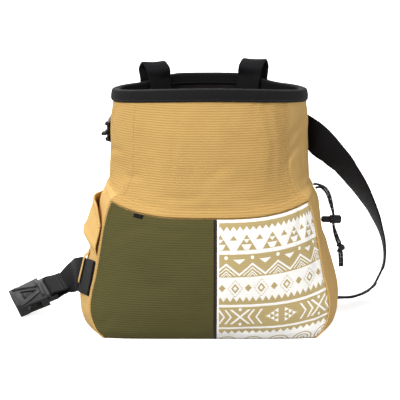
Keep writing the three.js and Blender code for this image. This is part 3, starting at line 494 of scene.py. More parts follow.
def new_object(name, mesh, *materials):
    for material in materials:
        mesh.materials.append(material)
    piece = bpy.data.objects.new(name, mesh)
    bpy.context.scene.collection.objects.link(piece)
    return piece


def smooth(piece):
    polygons = piece.data.polygons
    polygons.foreach_set("use_smooth", [True] * len(polygons))
    return piece


def mesh_object(name, points, faces, loop_maps, materials, face_slots=None, merge=0.0):
    """A smooth mesh in metres from millimetre points. loop_maps: name to one (u, v) for each face corner."""
    mesh = bpy.data.meshes.new(name)
    mesh.from_pydata((np.asarray(points).reshape(-1, 3) * MM).tolist(), [], faces)
    for map_name, corners in loop_maps.items():
        layer = mesh.uv_layers.new(name=map_name)
        layer.data.foreach_set("uv", np.asarray(corners, np.float32).ravel())
    if face_slots is not None:
        mesh.polygons.foreach_set("material_index", np.asarray(face_slots, np.int32))
    piece = smooth(new_object(name, mesh, *materials))
    if merge:
        work = bmesh.new()
        work.from_mesh(mesh)
        bmesh.ops.remove_doubles(work, verts=work.verts, dist=merge * MM)
        work.to_mesh(mesh)
        work.free()
    mesh.update()
    return piece


def ring_object(name, rings, maps, materials, face_slot=None, merge=0.0, closed=False):
    """A surface through rings of points that go once round. maps: name to (rings, points + 1, 2)."""
    rings = np.asarray(rings)
    rows, count = rings.shape[:2]
    faces, slots, corners = [], [], {key: [] for key in maps}
    for row in range(rows if closed else rows - 1):
        above = (row + 1) % rows
        for step in range(count):
            side = (step + 1) % count
            faces.append((row * count + step, row * count + side, above * count + side, above * count + step))
            for key, values in maps.items():
                corners[key] += [values[row][step], values[row][step + 1],
                                 values[row + 1][step + 1], values[row + 1][step]]
            slots.append(face_slot(row, step) if face_slot else 0)
    return mesh_object(name, rings, faces, corners, materials, slots, merge)


def sheet_object(name, front, back, maps, materials):
    """A cloth sheet with a wall, from two grids of points and maps of (rows, columns, 2)."""
    front, back = np.asarray(front), np.asarray(back)
    rows, columns = front.shape[:2]
    points = np.concatenate([front.reshape(-1, 3), back.reshape(-1, 3)])
    shift = rows * columns
    flat = {key: np.asarray(values).reshape(-1, 2) for key, values in maps.items()}
    faces = []
    for row in range(rows - 1):
        for column in range(columns - 1):
            a = row * columns + column
            quad = (a, a + 1, a + columns + 1, a + columns)
            faces.append(quad)
            faces.append(tuple(index + shift for index in reversed(quad)))
    edge = [(0, c) for c in range(columns)] + [(r, columns - 1) for r in range(1, rows)]
    edge += [(rows - 1, c) for c in range(columns - 2, -1, -1)] + [(r, 0) for r in range(rows - 2, 0, -1)]
    for (row, column), (row2, column2) in zip(edge, edge[1:] + edge[:1]):
        a, b = row * columns + column, row2 * columns + column2
        faces.append((b, a, a + shift, b + shift))
    corners = {key: [values[i % shift] for face in faces for i in face] for key, values in flat.items()}
    return mesh_object(name, points, faces, corners, materials)


def catmull_rom(points, count_each):
    """Evenly stepped points and tangents through a list of vectors."""
    points = [Vector(point) for point in points]
    padded = [points[0] * 2 - points[1], *points, points[-1] * 2 - points[-2]]
    found = []
    for part in range(len(points) - 1):
        p0, p1, p2, p3 = padded[part:part + 4]
        last = part == len(points) - 2
        for step in range(count_each + (1 if last else 0)):
            t = step / count_each
            v0, v1 = (p2 - p0) * 0.5, (p3 - p1) * 0.5
            at = (p1 * 2 - p2 * 2 + v0 + v1) * t ** 3 + (p2 * 3 - p1 * 3 - v0 * 2 - v1) * t ** 2 + v0 * t + p1
            tangent = (p1 * 2 - p2 * 2 + v0 + v1) * 3 * t ** 2 + (p2 * 3 - p1 * 3 - v0 * 2 - v1) * 2 * t + v0
            found.append((at, tangent.normalized(), part, t))
    return found


def webbing_frames(stations, each):
    """Points along webbing, each with its direction across and out of its face."""
    found = []
    for at, along, part, t in catmull_rom([at for at, _ in stations], each):
        across = stations[part][1].lerp(stations[min(part + 1, len(stations) - 1)][1], t)
        across = (across - along * across.dot(along)).normalized()
        found.append((at, across, along.cross(across).normalized()))
    return found


def capped_object(name, rings, rows, hubs, material):
    """A tube of rings closed by a point at each end; rows hold its map."""
    first, last = ([tuple(hub)] * len(rings[0]) for hub in hubs)
    rings = [first, *[[tuple(point) for point in ring] for ring in rings], last]
    piece = ring_object(name, rings, {"cloth": [rows[0], *rows, rows[-1]]}, [material], merge=0.01)
    make_outward(piece)
    return piece


def webbing_object(name, stations, size, each, material):
    """Woven webbing through (point, across) stations. size is its width and thickness."""
    half, edge = size[0] / 2, size[1] / 2
    top = [(share * (half - edge), edge) for share in np.linspace(-1, 1, 13)]
    turns = (math.pi / 4, math.pi / 2, 3 * math.pi / 4)
    right = [(half - edge + edge * math.sin(turn), edge * math.cos(turn)) for turn in turns]
    section = top + right + [(x, -y) for x, y in reversed(top)] + [(-x, -y) for x, y in right]
    rings, rows, distance, before = [], [], 0.0, None
    for at, across, face in webbing_frames(stations, each):
        if before is not None:
            distance += (at - before).length
        before = at
        rings.append([at + across * x + face * y for x, y in section])
        rows.append([(x, distance) for x, _ in section + section[:1]])
    hubs = [sum(ring, Vector()) / len(section) for ring in (rings[0], rings[-1])]
    return capped_object(name, rings, rows, hubs, material)


def tube_object(name, points, diameter, material, sides=14):
    """A round cord through (point, tangent) pairs. Its map runs round it and along it in millimetres."""
    rings, rows, distance, before = [], [], 0.0, None
    for at, along in points:
        side = (Vector((0, 1, 0)) - along * along.y).normalized()
        other = along.cross(side)
        if before is not None:
            distance += (at - before).length
        before = at
        angles = [TURN * step / sides for step in range(sides)]
        rings.append([at + (side * math.cos(a) + other * math.sin(a)) * diameter / 2 for a in angles])
        rows.append([(step / sides * math.pi * diameter, distance) for step in range(sides + 1)])
    hubs = [at + along * reach * diameter for (at, along), reach in ((points[0], -0.15), (points[-1], 0.15))]
    return capped_object(name, rings, rows, hubs, material)


def make_outward(piece):
    """Faces of a closed mesh turned to point out of it."""
    work = bmesh.new()
    work.from_mesh(piece.data)
    if work.calc_volume(signed=True) < 0:
        bmesh.ops.reverse_faces(work, faces=work.faces)
    work.to_mesh(piece.data)
    work.free()


def cad_copy(name, node, material, bevel, angle=35, move=None):
    """A merged copy of a hard node with its edges rounded off. move takes a point in metres to a new one."""
    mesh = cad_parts[node].data.copy()
    mesh.name = name
    mesh.materials.clear()
    work = bmesh.new()
    work.from_mesh(mesh)
    if move:
        for vertex in work.verts:
            vertex.co = move(vertex.co)
    bmesh.ops.remove_doubles(work, verts=work.verts, dist=1e-6)
    bmesh.ops.dissolve_limit(work, angle_limit=math.radians(1.0), verts=work.verts, edges=work.edges)
    work.to_mesh(mesh)
    work.free()
    piece = new_object(name, mesh, material)
    rounding = piece.modifiers.new("rounding", "BEVEL")
    rounding.width, rounding.segments = bevel * MM, 3
    rounding.limit_method, rounding.angle_limit = "ANGLE", math.radians(angle)
    return smooth(bake(piece))


def joined(name, pieces, *materials):
    """One piece from several, which are removed."""
    work = bmesh.new()
    for piece in pieces:
        work.from_mesh(piece.data)
    mesh = bpy.data.meshes.new(name)
    work.to_mesh(mesh)
    work.free()
    for piece in pieces:
        bpy.data.objects.remove(piece)
    return smooth(new_object(name, mesh, *materials))


def bake(piece):
    """The evaluated piece as a plain mesh under the same name."""
    graph = bpy.context.evaluated_depsgraph_get()
    graph.update()
    mesh = bpy.data.meshes.new_from_object(piece.evaluated_get(graph))
    name = piece.name
    bpy.data.objects.remove(piece)
    made = bpy.data.objects.new(name, mesh)
    bpy.context.scene.collection.objects.link(made)
    return made


# Shader nodes


class Value:
    """A number that a shader works out; arithmetic on it adds Math nodes."""

    def __init__(self, shade, socket):
        self.shade, self.socket = shade, socket

    def apply(self, operation, *others):
        return self.shade.math(operation, self, *others)

    def __rsub__(self, other):
        return self.shade.math("SUBTRACT", other, self)

    __add__ = __radd__ = partialmethod(apply, "ADD")
    __sub__ = partialmethod(apply, "SUBTRACT")
    __mul__ = __rmul__ = __and__ = partialmethod(apply, "MULTIPLY")
    __truediv__ = partialmethod(apply, "DIVIDE")
    __pow__ = partialmethod(apply, "POWER")
    __lt__ = partialmethod(apply, "LESS_THAN")
    __gt__ = partialmethod(apply, "GREATER_THAN")
    __or__ = partialmethod(apply, "MAXIMUM")
    __abs__ = partialmethod(apply, "ABSOLUTE")
    fraction = partialmethod(apply, "FRACT")
    floor = partialmethod(apply, "FLOOR")
    sine = partialmethod(apply, "SINE")
    root = partialmethod(apply, "SQRT")

    def ramp(self, low, high):
        """0 below low and 1 above high, straight between."""
        ends = {0: self, 1: low, 2: high, 3: 0.0, 4: 1.0}
        return Value(self.shade, self.shade.node("ShaderNodeMapRange", {"clamp": True}, ends).outputs[0])

    def wave(self):
        """From 0 to 1 and back, once for each whole number."""
        return (self * TURN).sine() * 0.5 + 0.5

    def off_middle(self):
        """Distance from the half way mark between two whole numbers."""
        return abs(self.fraction() - 0.5)

    def zigzag(self):
        """0 at whole numbers and 1 half way between them."""
        return (self + 0.5).off_middle() * 2


class Shade:
    """One material's node tree."""

    def __init__(self, name, roughness, specular, sheen=0.0):
        self.material = bpy.data.materials.new(name)
        self.material.use_nodes = True
        self.tree = self.material.node_tree
        self.surface = self.tree.nodes["Principled BSDF"]
        self.surface.inputs["Roughness"].default_value = roughness
        self.surface.inputs["Specular IOR Level"].default_value = specular
        if sheen:
            self.surface.inputs["Sheen Weight"].default_value = sheen
            self.surface.inputs["Sheen Roughness"].default_value = 0.5

    def node(self, kind, settings=None, inputs=None):
        made = self.tree.nodes.new(kind)
        for key, setting in (settings or {}).items():
            setattr(made, key, setting)
        for key, value in (inputs or {}).items():
            socket = made.inputs[key]
            if isinstance(value, Value):
                value = value.socket
            if isinstance(value, bpy.types.NodeSocket):
                self.tree.links.new(value, socket)
            elif isinstance(value, (int, float)):
                socket.default_value = value
            else:
                value = tuple(value)
                full = len(socket.default_value)
                socket.default_value = value if len(value) == full else (*value, 1.0)
        return made

    def math(self, operation, *values):
        made = self.node("ShaderNodeMath", {"operation": operation}, dict(enumerate(values)))
        return Value(self, made.outputs[0])

    def map(self, name):
        """The two numbers of a map, as values."""
        uv = self.node("ShaderNodeUVMap", {"uv_map": name})
        split = self.node("ShaderNodeSeparateXYZ", None, {0: uv.outputs[0]})
        return Value(self, split.outputs[0]), Value(self, split.outputs[1])

    def position(self):
        return self.node("ShaderNodeTexCoord").outputs["Object"]

    def vector(self, x, y, z=0.0):
        return self.node("ShaderNodeCombineXYZ", None, {0: x, 1: y, 2: z}).outputs[0]

    def noise(self, vector, scale=1.0, detail=3.0):
        made = self.node("ShaderNodeTexNoise", {"noise_dimensions": "3D"},
                         {"Vector": vector, "Scale": scale, "Detail": detail, "Roughness": 0.55})
        return Value(self, made.outputs[0])

    def cloth_noise(self, u, v, u_scale, v_scale, detail):
        """Noise over a cloth's map, with its scales in bumps to a millimetre."""
        return self.noise(self.vector(u * u_scale, v * v_scale), detail=detail)

    def mix(self, factor, first, second):
        return self.node("ShaderNodeMix", {"data_type": "RGBA"}, {0: factor, 6: first, 7: second}).outputs[2]

    def shades(self, tone, rgb, dark, light):
        """A colour from darker to lighter as the tone goes from 0 to 1."""
        return self.mix(tone, scaled(rgb, dark), scaled(rgb, light))

    def finish(self, base=None, roughness=None, height=None, strength=0.0, distance=0.0):
        if base is not None:
            self.tree.links.new(base, self.surface.inputs["Base Color"])
        if roughness is not None:
            self.tree.links.new(roughness.socket, self.surface.inputs["Roughness"])
        if height is not None:
            inputs = {"Strength": strength, "Distance": distance, "Height": height}
            bump = self.node("ShaderNodeBump", None, inputs)
            self.tree.links.new(bump.outputs[0], self.surface.inputs["Normal"])
        return self.material


def scaled(rgb, factor):
    return tuple(min(1.0, channel * factor) for channel in rgb)


def rib_height(shade, u, v, pitch):
    """Crosswise ribs of the canvas, and the fine threads that fill them."""
    wander = shade.noise(shade.vector(u * 0.05, v * 0.05)) * 0.25
    rib = (v / pitch + wander).wave()
    thread = (u / CANVAS_THREAD + (v / pitch).floor() * 0.5).wave()
    return rib, thread


def ribbed_canvas(name, rgb, pitch, contrast=0.16, wear=0.5):
    shade = Shade(name, roughness=0.88, specular=0.15)
    u, v = shade.map("cloth")
    rib, thread = rib_height(shade, u, v, pitch)
    cloud = shade.cloth_noise(u, v, 0.02, 0.02, 4)
    grain = shade.cloth_noise(u, v, 1.1, 2.6, 2)
    tone = (rib * contrast + thread * 0.05 + grain * 0.14 + cloud * 0.14).ramp(0.08, 0.45)
    base = shade.shades(tone, rgb, 0.8, 1.13)
    fade = cloud.ramp(0.45, 0.75) * (0.18 * wear)
    base = shade.mix(fade, base, scaled(rgb, 1.25))
    height = rib * 0.75 + thread * 0.2 * rib + grain * 0.12
    return shade.finish(base, 0.92 - rib * 0.07, height, strength=0.7, distance=0.0004)


def twill(name, rgb):
    """Finer cloth with a diagonal line, as on the side gussets."""
    shade = Shade(name, roughness=0.9, specular=0.15)
    u, v = shade.map("cloth")
    line = ((u + v) / TWILL_LINE).wave()
    grain = shade.cloth_noise(u, v, 1.4, 1.4, 2)
    cloud = shade.cloth_noise(u, v, 0.025, 0.025, 4)
    tone = (line * 0.14 + grain * 0.2 + cloud * 0.2).ramp(0.12, 0.44)
    base, height = shade.shades(tone, rgb, 0.85, 1.1), line * 0.6 + grain * 0.3
    return shade.finish(base, 0.93 - line * 0.05, height, strength=0.4, distance=0.0003)


def webbing_material(name, rgb, pitch=1.5):
    """Woven tape: cross ribs broken into lengthways rows."""
    shade = Shade(name, roughness=0.75, specular=0.1)
    across, along = shade.map("cloth")
    shift = ((across / WEBBING_ROW).floor() * 0.5).fraction()
    rib = (along / pitch + shift).wave()
    groove = (across / WEBBING_ROW).off_middle() * 2
    grain = shade.cloth_noise(across, along, 1.3, 1.3, 2)
    dust = shade.cloth_noise(across, along, 0.06, 0.03, 4)
    tone = (rib * 0.3 + grain * 0.3 - groove ** 4 * 0.25 + dust * 0.3).ramp(0.1, 0.75)
    base, height = shade.shades(tone, rgb, 0.55, 1.75), rib * 0.6 - (groove ** 5) * 0.6 + grain * 0.15
    return shade.finish(base, 0.78 - rib * 0.12, height, strength=0.6, distance=0.0004)


def tape_material(name, rgb):
    """Fine grosgrain, as on the rim binding and the strip."""
    shade = Shade(name, roughness=0.7, specular=0.12)
    u, v = shade.map("cloth")
    rib, thread = (u / TAPE_RIB).wave(), (v / TAPE_THREAD).wave()
    grain = shade.cloth_noise(u, v, 1.2, 1.2, 2)
    cloud = shade.cloth_noise(u, v, 0.03, 0.06, 4)
    tone = (rib * 0.25 + thread * 0.12 + grain * 0.3 + cloud * 0.35).ramp(0.2, 0.8)
    base, height = shade.shades(tone, rgb, 0.65, 1.55), rib * 0.6 + thread * 0.2 + grain * 0.2
    return shade.finish(base, 0.86 - rib * 0.1, height, strength=0.5, distance=0.0003)


def fleece_material(name, rgb):
    shade = Shade(name, roughness=0.97, specular=0.1)
    tuft, cloud = shade.noise(shade.position(), 900.0), shade.noise(shade.position(), 40.0)
    base = shade.shades((tuft * 0.6 + cloud * 0.5).ramp(0.35, 0.8), rgb, 0.55, 1.7)
    return shade.finish(base, None, tuft, strength=0.7, distance=0.0008)


def plastic_material(name, rgb):
    """Moulded nylon with a fine spark-eroded grain and rubbed places."""
    shade = Shade(name, roughness=0.4, specular=0.17)
    grain, rub = shade.noise(shade.position(), 2600.0, 2), shade.noise(shade.position(), 160.0, 4)
    base = shade.shades(rub.ramp(0.5, 0.8), rgb, 1.0, 2.1)
    return shade.finish(base, 0.4 + rub * 0.2, grain, strength=0.12, distance=0.0001)


def thread_material(name, rgb):
    shade = Shade(name, roughness=0.7, specular=0.3, sheen=0.15)
    twist = shade.noise(shade.position(), 1500.0, 2)
    base = shade.shades(twist.ramp(0.3, 0.7), rgb, 0.75, 1.15)
    return shade.finish(base, None, twist, strength=0.4, distance=0.0002)


def cord_material(name, rgb, fleck, diameter):
    """Braided sleeve with light tracer flecks."""
    shade = Shade(name, roughness=0.7, specular=0.25)
    around, along = shade.map("cloth")
    turns = around / (math.pi * diameter) * BRAID_STRANDS
    left, right = turns + along / BRAID_PITCH, turns - along / BRAID_PITCH
    braid = ((left * TURN).sine() * (right * TURN).sine()) * 0.5 + 0.5
    tracer = ((left.floor() * 0.37 + right.floor() * 0.61).fraction() > 0.9) & (braid > 0.55)
    base = shade.mix(tracer * 0.7, shade.shades(braid, rgb, 0.6, 1.6), fleck)
    return shade.finish(base, None, braid, strength=0.7, distance=0.0003)


def printed_canvas(name, ground, ink, pitch, motif):
    """Canvas printed with bands of triangles, zigzags, diamonds and arrows. The motif map holds the count
    of repeats across and the drop below the waist seam in millimetres."""
    shade = Shade(name, roughness=0.86, specular=0.15)
    u, v = shade.map("cloth")
    rib, thread = rib_height(shade, u, v, pitch)
    phase, drop = shade.map("motif")
    wobble = shade.cloth_noise(u, v, 0.22, 0.22, 2) - 0.5
    drop = drop + wobble * 0.7
    phase = phase + wobble * 0.02

    def between(low, high):
        return (drop > low) & (drop < high)

    def repeat(start):
        """Distance from the nearest repeat of a motif, in repeats."""
        return (phase - start).zigzag() * 0.5

    def dot(side, middle, radius):
        away = side * motif
        tall = drop - middle
        return (away * away + tall * tall) < radius * radius

    # White bands with their toothed edges.
    teeth = (phase * 4).zigzag()
    white = between(1.6, 4.6) | ((drop > teeth * 4.2 + 8.3) & (drop < 35.2))
    # Stepped triangles in the first white band.
    tall = repeat(0.0)
    inside = drop - 16.0
    big = (tall < inside * (0.39 / 15.4)) & between(16.0, 31.4)
    eye = (tall < (24.4 - drop) * (0.12 / 3.8)) & between(20.6, 24.4)
    bowl = (tall < (34.5 - drop) * (0.215 / 9.4)) & between(25.6, 30.9)
    small = (repeat(0.5) < (drop - 16.8) * (0.14 / 4.8)) & between(16.8, 21.6)
    white = white & (1 - ((big & (1 - (eye | bowl))) | small))
    # Dots, hanging triangles, two zigzags and two carets on the ground.
    side = repeat(0.22)
    marks = dot(side, 38.6, 1.75) | ((repeat(0.72) < (45.0 - drop) * (0.23 / 4.8)) & between(40.2, 45.0))
    for slope, start, half, reach, foot in (
        (21.0, 44.9, 1.15, 1.0, 56.8), (21.0, 48.7, 0.62, 1.0, 56.0),
        (25.0, 51.8, 0.62, 0.2, 56.9), (25.0, 54.2, 0.55, 0.16, 56.9),
    ):
        marks = marks | ((abs(drop - side * slope - start) < half) & (side < reach) & (drop < foot))
    white = white | marks
    # Diamonds in the second white band, over a toothed edge.
    band = (drop > 57.6) & (drop < teeth * 5.0 + 77.6)
    around = repeat(0.57) / 0.156 + abs(drop - 69.0) / 4.9
    ring = (around < 1.0) & (around > 0.5)
    halo = (abs(around - 1.75) < 0.16) & ((drop / 1.7).fraction() < 0.45)
    solid = (repeat(0.07) / 0.136 + abs(drop - 68.6) / 3.7) < 1.0
    white = white | (band & (1 - (ring | halo | solid))) | between(85.6, 88.2)
    # Crosses, arrows and clusters of triangles, mirrored about one line.
    out = abs(phase - 1.38) * motif
    off = abs(drop - 98.7)
    row = off < 7.8
    beside = abs(out - 41.3)
    signs = (abs(beside * 0.87 - off) < 1.25) & row
    signs = signs | dot(beside / motif, 90.9, 1.6) | dot(beside / motif, 106.5, 1.6)
    for tip in (33.2, 25.4):
        signs = signs | ((abs(tip - out - off * 0.72) < 1.0) & row)
    for tip in (50.4, 57.0, 63.0):
        signs = signs | ((abs(out - tip - off * 0.72) < 0.95) & row)
    column = (out - 3.2) / 4.1
    odd = (column.floor() * 0.5).fraction()
    lane = ((drop - 98.7) / 5.0 + 0.5 + odd).off_middle() * 5.0
    cluster = (lane < (1 - column.fraction()) * 2.1) & (off < (17.6 - out) * 0.56) & (out > 3.2)
    # The last stripe, teeth and arcs near the floor.
    white = white | signs | cluster | between(109.8, 111.9)
    foot = drop > (phase * 3.7).zigzag() * 3.6 + 113.8
    wide = repeat(0.3) * motif
    arc = (wide * wide * 0.55 + (drop - 129.5) * (drop - 129.5)).root()
    arcs = ((arc / 3.1).off_middle() < 0.17) & (arc < 10.0)
    # With the light folded edge beside the strip.
    white = white | (foot & (1 - arcs)) | ((u < 2.0) & (drop > 0.0))

    grain = shade.cloth_noise(u, v, 1.5, 2.6, 2)
    cloud = shade.cloth_noise(u, v, 0.03, 0.03, 4)
    tone = (rib * 0.1 + grain * 0.2 + cloud * 0.2).ramp(0.12, 0.42)
    cover = white * (grain.ramp(0.1, 0.28) * 0.1 + 0.9)
    base = shade.mix(cover, shade.shades(tone, ground, 0.86, 1.12), shade.shades(tone, ink, 0.93, 1.02))
    height = rib * 0.6 + thread * 0.2 * rib + grain * 0.15 + white * 0.1
    return shade.finish(base, 0.9 - white * 0.12, height, strength=0.4, distance=0.0003)


# Stitches


def stitch_tree(material):
    """Stitches along the edges of a mesh, as a Geometry Nodes tree with named sizes."""
    tree = bpy.data.node_groups.new("Stitch rows", "GeometryNodeTree")
    tree.interface.new_socket("Geometry", in_out="INPUT", socket_type="NodeSocketGeometry")
    for label in ("Stitch length", "Stitch gap", "Thread thickness"):
        socket = tree.interface.new_socket(label, in_out="INPUT", socket_type="NodeSocketFloat")
        socket.subtype = "DISTANCE"
    tree.interface.new_socket("Geometry", in_out="OUTPUT", socket_type="NodeSocketGeometry")
    made = {}
    for key, kind, settings in (
        ("start", "NodeGroupInput", {}),
        ("end", "NodeGroupOutput", {}),
        ("curve", "GeometryNodeMeshToCurve", {}),
        ("total", "ShaderNodeMath", {"operation": "ADD"}),
        ("spaced", "GeometryNodeResampleCurve", {"mode": "LENGTH"}),
        ("tangent", "GeometryNodeInputTangent", {}),
        ("align", "FunctionNodeAlignRotationToVector", {"axis": "X"}),
        ("ball", "GeometryNodeMeshUVSphere", {}),
        ("size", "ShaderNodeCombineXYZ", {}),
        ("place", "GeometryNodeInstanceOnPoints", {}),
        ("real", "GeometryNodeRealizeInstances", {}),
        ("paint", "GeometryNodeSetMaterial", {}),
    ):
        made[key] = tree.nodes.new(kind)
        for setting, value in settings.items():
            setattr(made[key], setting, value)
    for label, value in (("Segments", 8), ("Rings", 5), ("Radius", 0.5)):
        made["ball"].inputs[label].default_value = value
    made["paint"].inputs["Material"].default_value = material
    for source, output, target, entry in (
        ("start", "Geometry", "curve", "Mesh"),
        ("start", "Stitch length", "total", 0),
        ("start", "Stitch gap", "total", 1),
        ("curve", 0, "spaced", "Curve"),
        ("total", 0, "spaced", "Length"),
        ("tangent", 0, "align", "Vector"),
        ("start", "Stitch length", "size", 0),
        ("start", "Thread thickness", "size", 1),
        ("start", "Thread thickness", "size", 2),
        ("spaced", 0, "place", "Points"),
        ("ball", "Mesh", "place", "Instance"),
        ("align", 0, "place", "Rotation"),
        ("size", 0, "place", "Scale"),
        ("place", 0, "real", 0),
        ("real", 0, "paint", "Geometry"),
        ("paint", 0, "end", 0),
    ):
        tree.links.new(made[source].outputs[output], made[target].inputs[entry])
    return tree


def stitches(name, lines, sizes, material, slot):
    """Rows of stitches along lists of points in millimetres."""
    points, edges = [], []
    for line in lines:
        first = len(points)
        points += [tuple(Vector(point) * MM) for point in line]
        edges += [(first + step, first + step + 1) for step in range(len(line) - 1)]
    mesh = bpy.data.meshes.new(name)
    mesh.from_pydata(points, edges, [])
    piece = new_object(name, mesh)
    modifier = piece.modifiers.new("stitches", "NODES")
    modifier.node_group = stitch_tree(material)
    values = {
        "Stitch length": sizes.stitch_length,
        "Stitch gap": sizes.stitch_gap,
        "Thread thickness": sizes.stitch_thickness,
    }
    for socket in modifier.node_group.interface.items_tree:
        if socket.in_out == "INPUT" and socket.name in values:
            modifier[socket.identifier] = values[socket.name]
    piece = smooth(bake(piece))
    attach(piece, BODY)


def dress(piece, slot, *nodes, body=BODY):
    """A piece that stands for nodes of the frame, on their body; its slot is not used."""
    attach(piece, body)
    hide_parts(*nodes)
    return piece


# Places


def places_round():
    """Places once round the bag, closer together at the four corners."""
    base = np.arange(-4, 4, 0.036)
    near = np.array([-0.06, -0.04, -0.025, -0.015, -0.008, 0, 0.008, 0.015, 0.025, 0.04, 0.06])
    extra = np.concatenate([near + corner for corner in (-3, -1, 1, 3)])
    every = np.unique(np.round(np.concatenate([base, extra]), 5))
    keep = [every[0]]
    for place in every[1:]:
        if place - keep[-1] > 0.0045:
            keep.append(place)
    return np.array(keep)


def girth_of(form, places):
    """Distance round the waist to each place, in millimetres, with one more for the closing step."""
    ring = form.plain(np.append(places, places[0]), np.ones(len(places) + 1))
    steps = np.linalg.norm(np.diff(ring, axis=0), axis=1)
    return np.concatenate([[0], np.cumsum(steps)])


def seam_ridge(place):
    """Raised corner seams where the front and back panels meet the gussets."""
    along = np.abs(place)
    return np.exp(-((along - 1) / 0.014) ** 2) + np.exp(-((along - 3) / 0.014) ** 2)


def disc_rings(edge, shares, heights):
    """Level rings inside an edge, each at its own height and a share of the edge's size."""
    rings = []
    for share, height in zip(shares, heights):
        ring = edge * np.array((share, share, 1))
        ring[:, 2] = height
        rings.append(ring)
    return rings


def hem_lift(level):
    """How far the waist seam's folded hem stands proud, in millimetres."""
    return math.exp(-((level - HEM_LEVEL) / HEM_SPREAD) ** 2)


def groove_depth(level):
    return GROOVE_DEPTH * math.exp(-((level - GROOVE_LEVEL) / GROOVE_SPREAD) ** 2)


def behind_pockets(place, level):
    return (np.abs(place) < 0.99) & (level < 0.995)


class PieceOperator:
    """Makes its pieces from the cloth form, the sizes and the colours of the scene"""

    def execute(self, context):
        sizes, colours = context.scene.chalk_bag_sizes, context.scene.chalk_bag_colours
        self.make(BagForm(sizes), sizes, colours)
        return {"FINISHED"}


class CHALKBAG_OT_stage(PieceOperator, bpy.types.Operator):
    """Make the camera, the pale floor and the soft lights"""

    bl_idname = "chalkbag.stage"
    bl_label = "Stage"

    def make(self, form, sizes, colours):
        scene = bpy.context.scene
        camera = bpy.data.objects.new("camera", bpy.data.cameras.new("camera"))
        camera.location = CAMERA_PLACE
        camera.rotation_euler = (math.radians(90 - CAMERA_DIP), 0, 0)
        camera.data.sensor_width, camera.data.lens = 36, CAMERA_LENS
        camera.data.clip_start, camera.data.clip_end = 0.05, 20
        scene.collection.objects.link(camera)
        scene.camera = camera
        scene.view_settings.view_transform = "Standard"
        scene.world = bpy.data.worlds.new("studio")
        scene.world.use_nodes = True
        background = scene.world.node_tree.nodes["Background"]
        background.inputs[0].default_value = (1, 1, 1, 1)
        background.inputs[1].default_value = WORLD_STRENGTH

        shade = self.glowing("Studio floor", FLOOR_GLOW)
        tone = shade.noise(shade.position(), 3.0)
        signs = ((-1, -1), (1, -1), (1, 1), (-1, 1))
        corners = [(x * FLOOR_HALF, y * FLOOR_HALF, -FLOOR_DROP) for x, y in signs]
        mesh = bpy.data.meshes.new("floor")
        mesh.from_pydata(corners, [], [(0, 1, 2, 3)])
        floor = new_object("floor", mesh, shade.finish(shade.shades(tone, colours.floor, 0.99, 1.0)))
        work = bmesh.new()
        bmesh.ops.create_uvsphere(work, u_segments=48, v_segments=24, radius=BACKDROP_RADIUS)
        bmesh.ops.reverse_faces(work, faces=work.faces)
        mesh = bpy.data.meshes.new("backdrop")
        work.to_mesh(mesh)
        work.free()
        backdrop = new_object("backdrop", mesh, self.glowing("Studio backdrop", BACKDROP_GLOW).finish())
        backdrop.visible_shadow = False
        for piece in (floor, backdrop):
            piece.visible_diffuse = False

        for name, (place, aim, size, power) in LIGHTS.items():
            lamp = bpy.data.lights.new(name, "AREA")
            lamp.shape, lamp.size, lamp.energy = "DISK", size, power
            light = bpy.data.objects.new(name, lamp)
            light.location = place
            light.rotation_euler = (Vector(aim) - Vector(place)).to_track_quat("-Z", "Y").to_euler()
            scene.collection.objects.link(light)

    def glowing(self, name, strength):
        shade = Shade(name, roughness=0.9, specular=0.0)
        shade.surface.inputs["Emission Color"].default_value = (1, 1, 1, 1)
        shade.surface.inputs["Emission Strength"].default_value = strength
        return shade


def cord_points(side):
    """The strand from the waist seam through the lock and the knot to its tail."""
    sign = -1 if side == "front" else 1
    away = -sign * CORD_SPACING / 2
    route = [(x, CORD_DEPTH + sign * CORD_SPACING / 2, z) for x, z in CORD_STARTS[side]]
    for index, (x, z, turn) in enumerate(CORD_ROUTE):
        before = CORD_ROUTE[max(0, index - 1)]
        after = CORD_ROUTE[min(len(CORD_ROUTE) - 1, index + 1)]
        aside = Vector((before[1] - after[1], 0, after[0] - before[0])).normalized()
        angle = math.radians(turn)
        middle = Vector((x, CORD_DEPTH - away * math.sin(angle), z))
        route.append(middle + aside * away * math.cos(angle))
    route.append((KNOT_PLACE[0] + away * 0.5, CORD_DEPTH, KNOT_PLACE[1]))
    route += [(x + away, CORD_DEPTH, z) for x, z in TAIL_ROUTE]
    return [(at, along) for at, along, _, _ in catmull_rom(route, 5)]


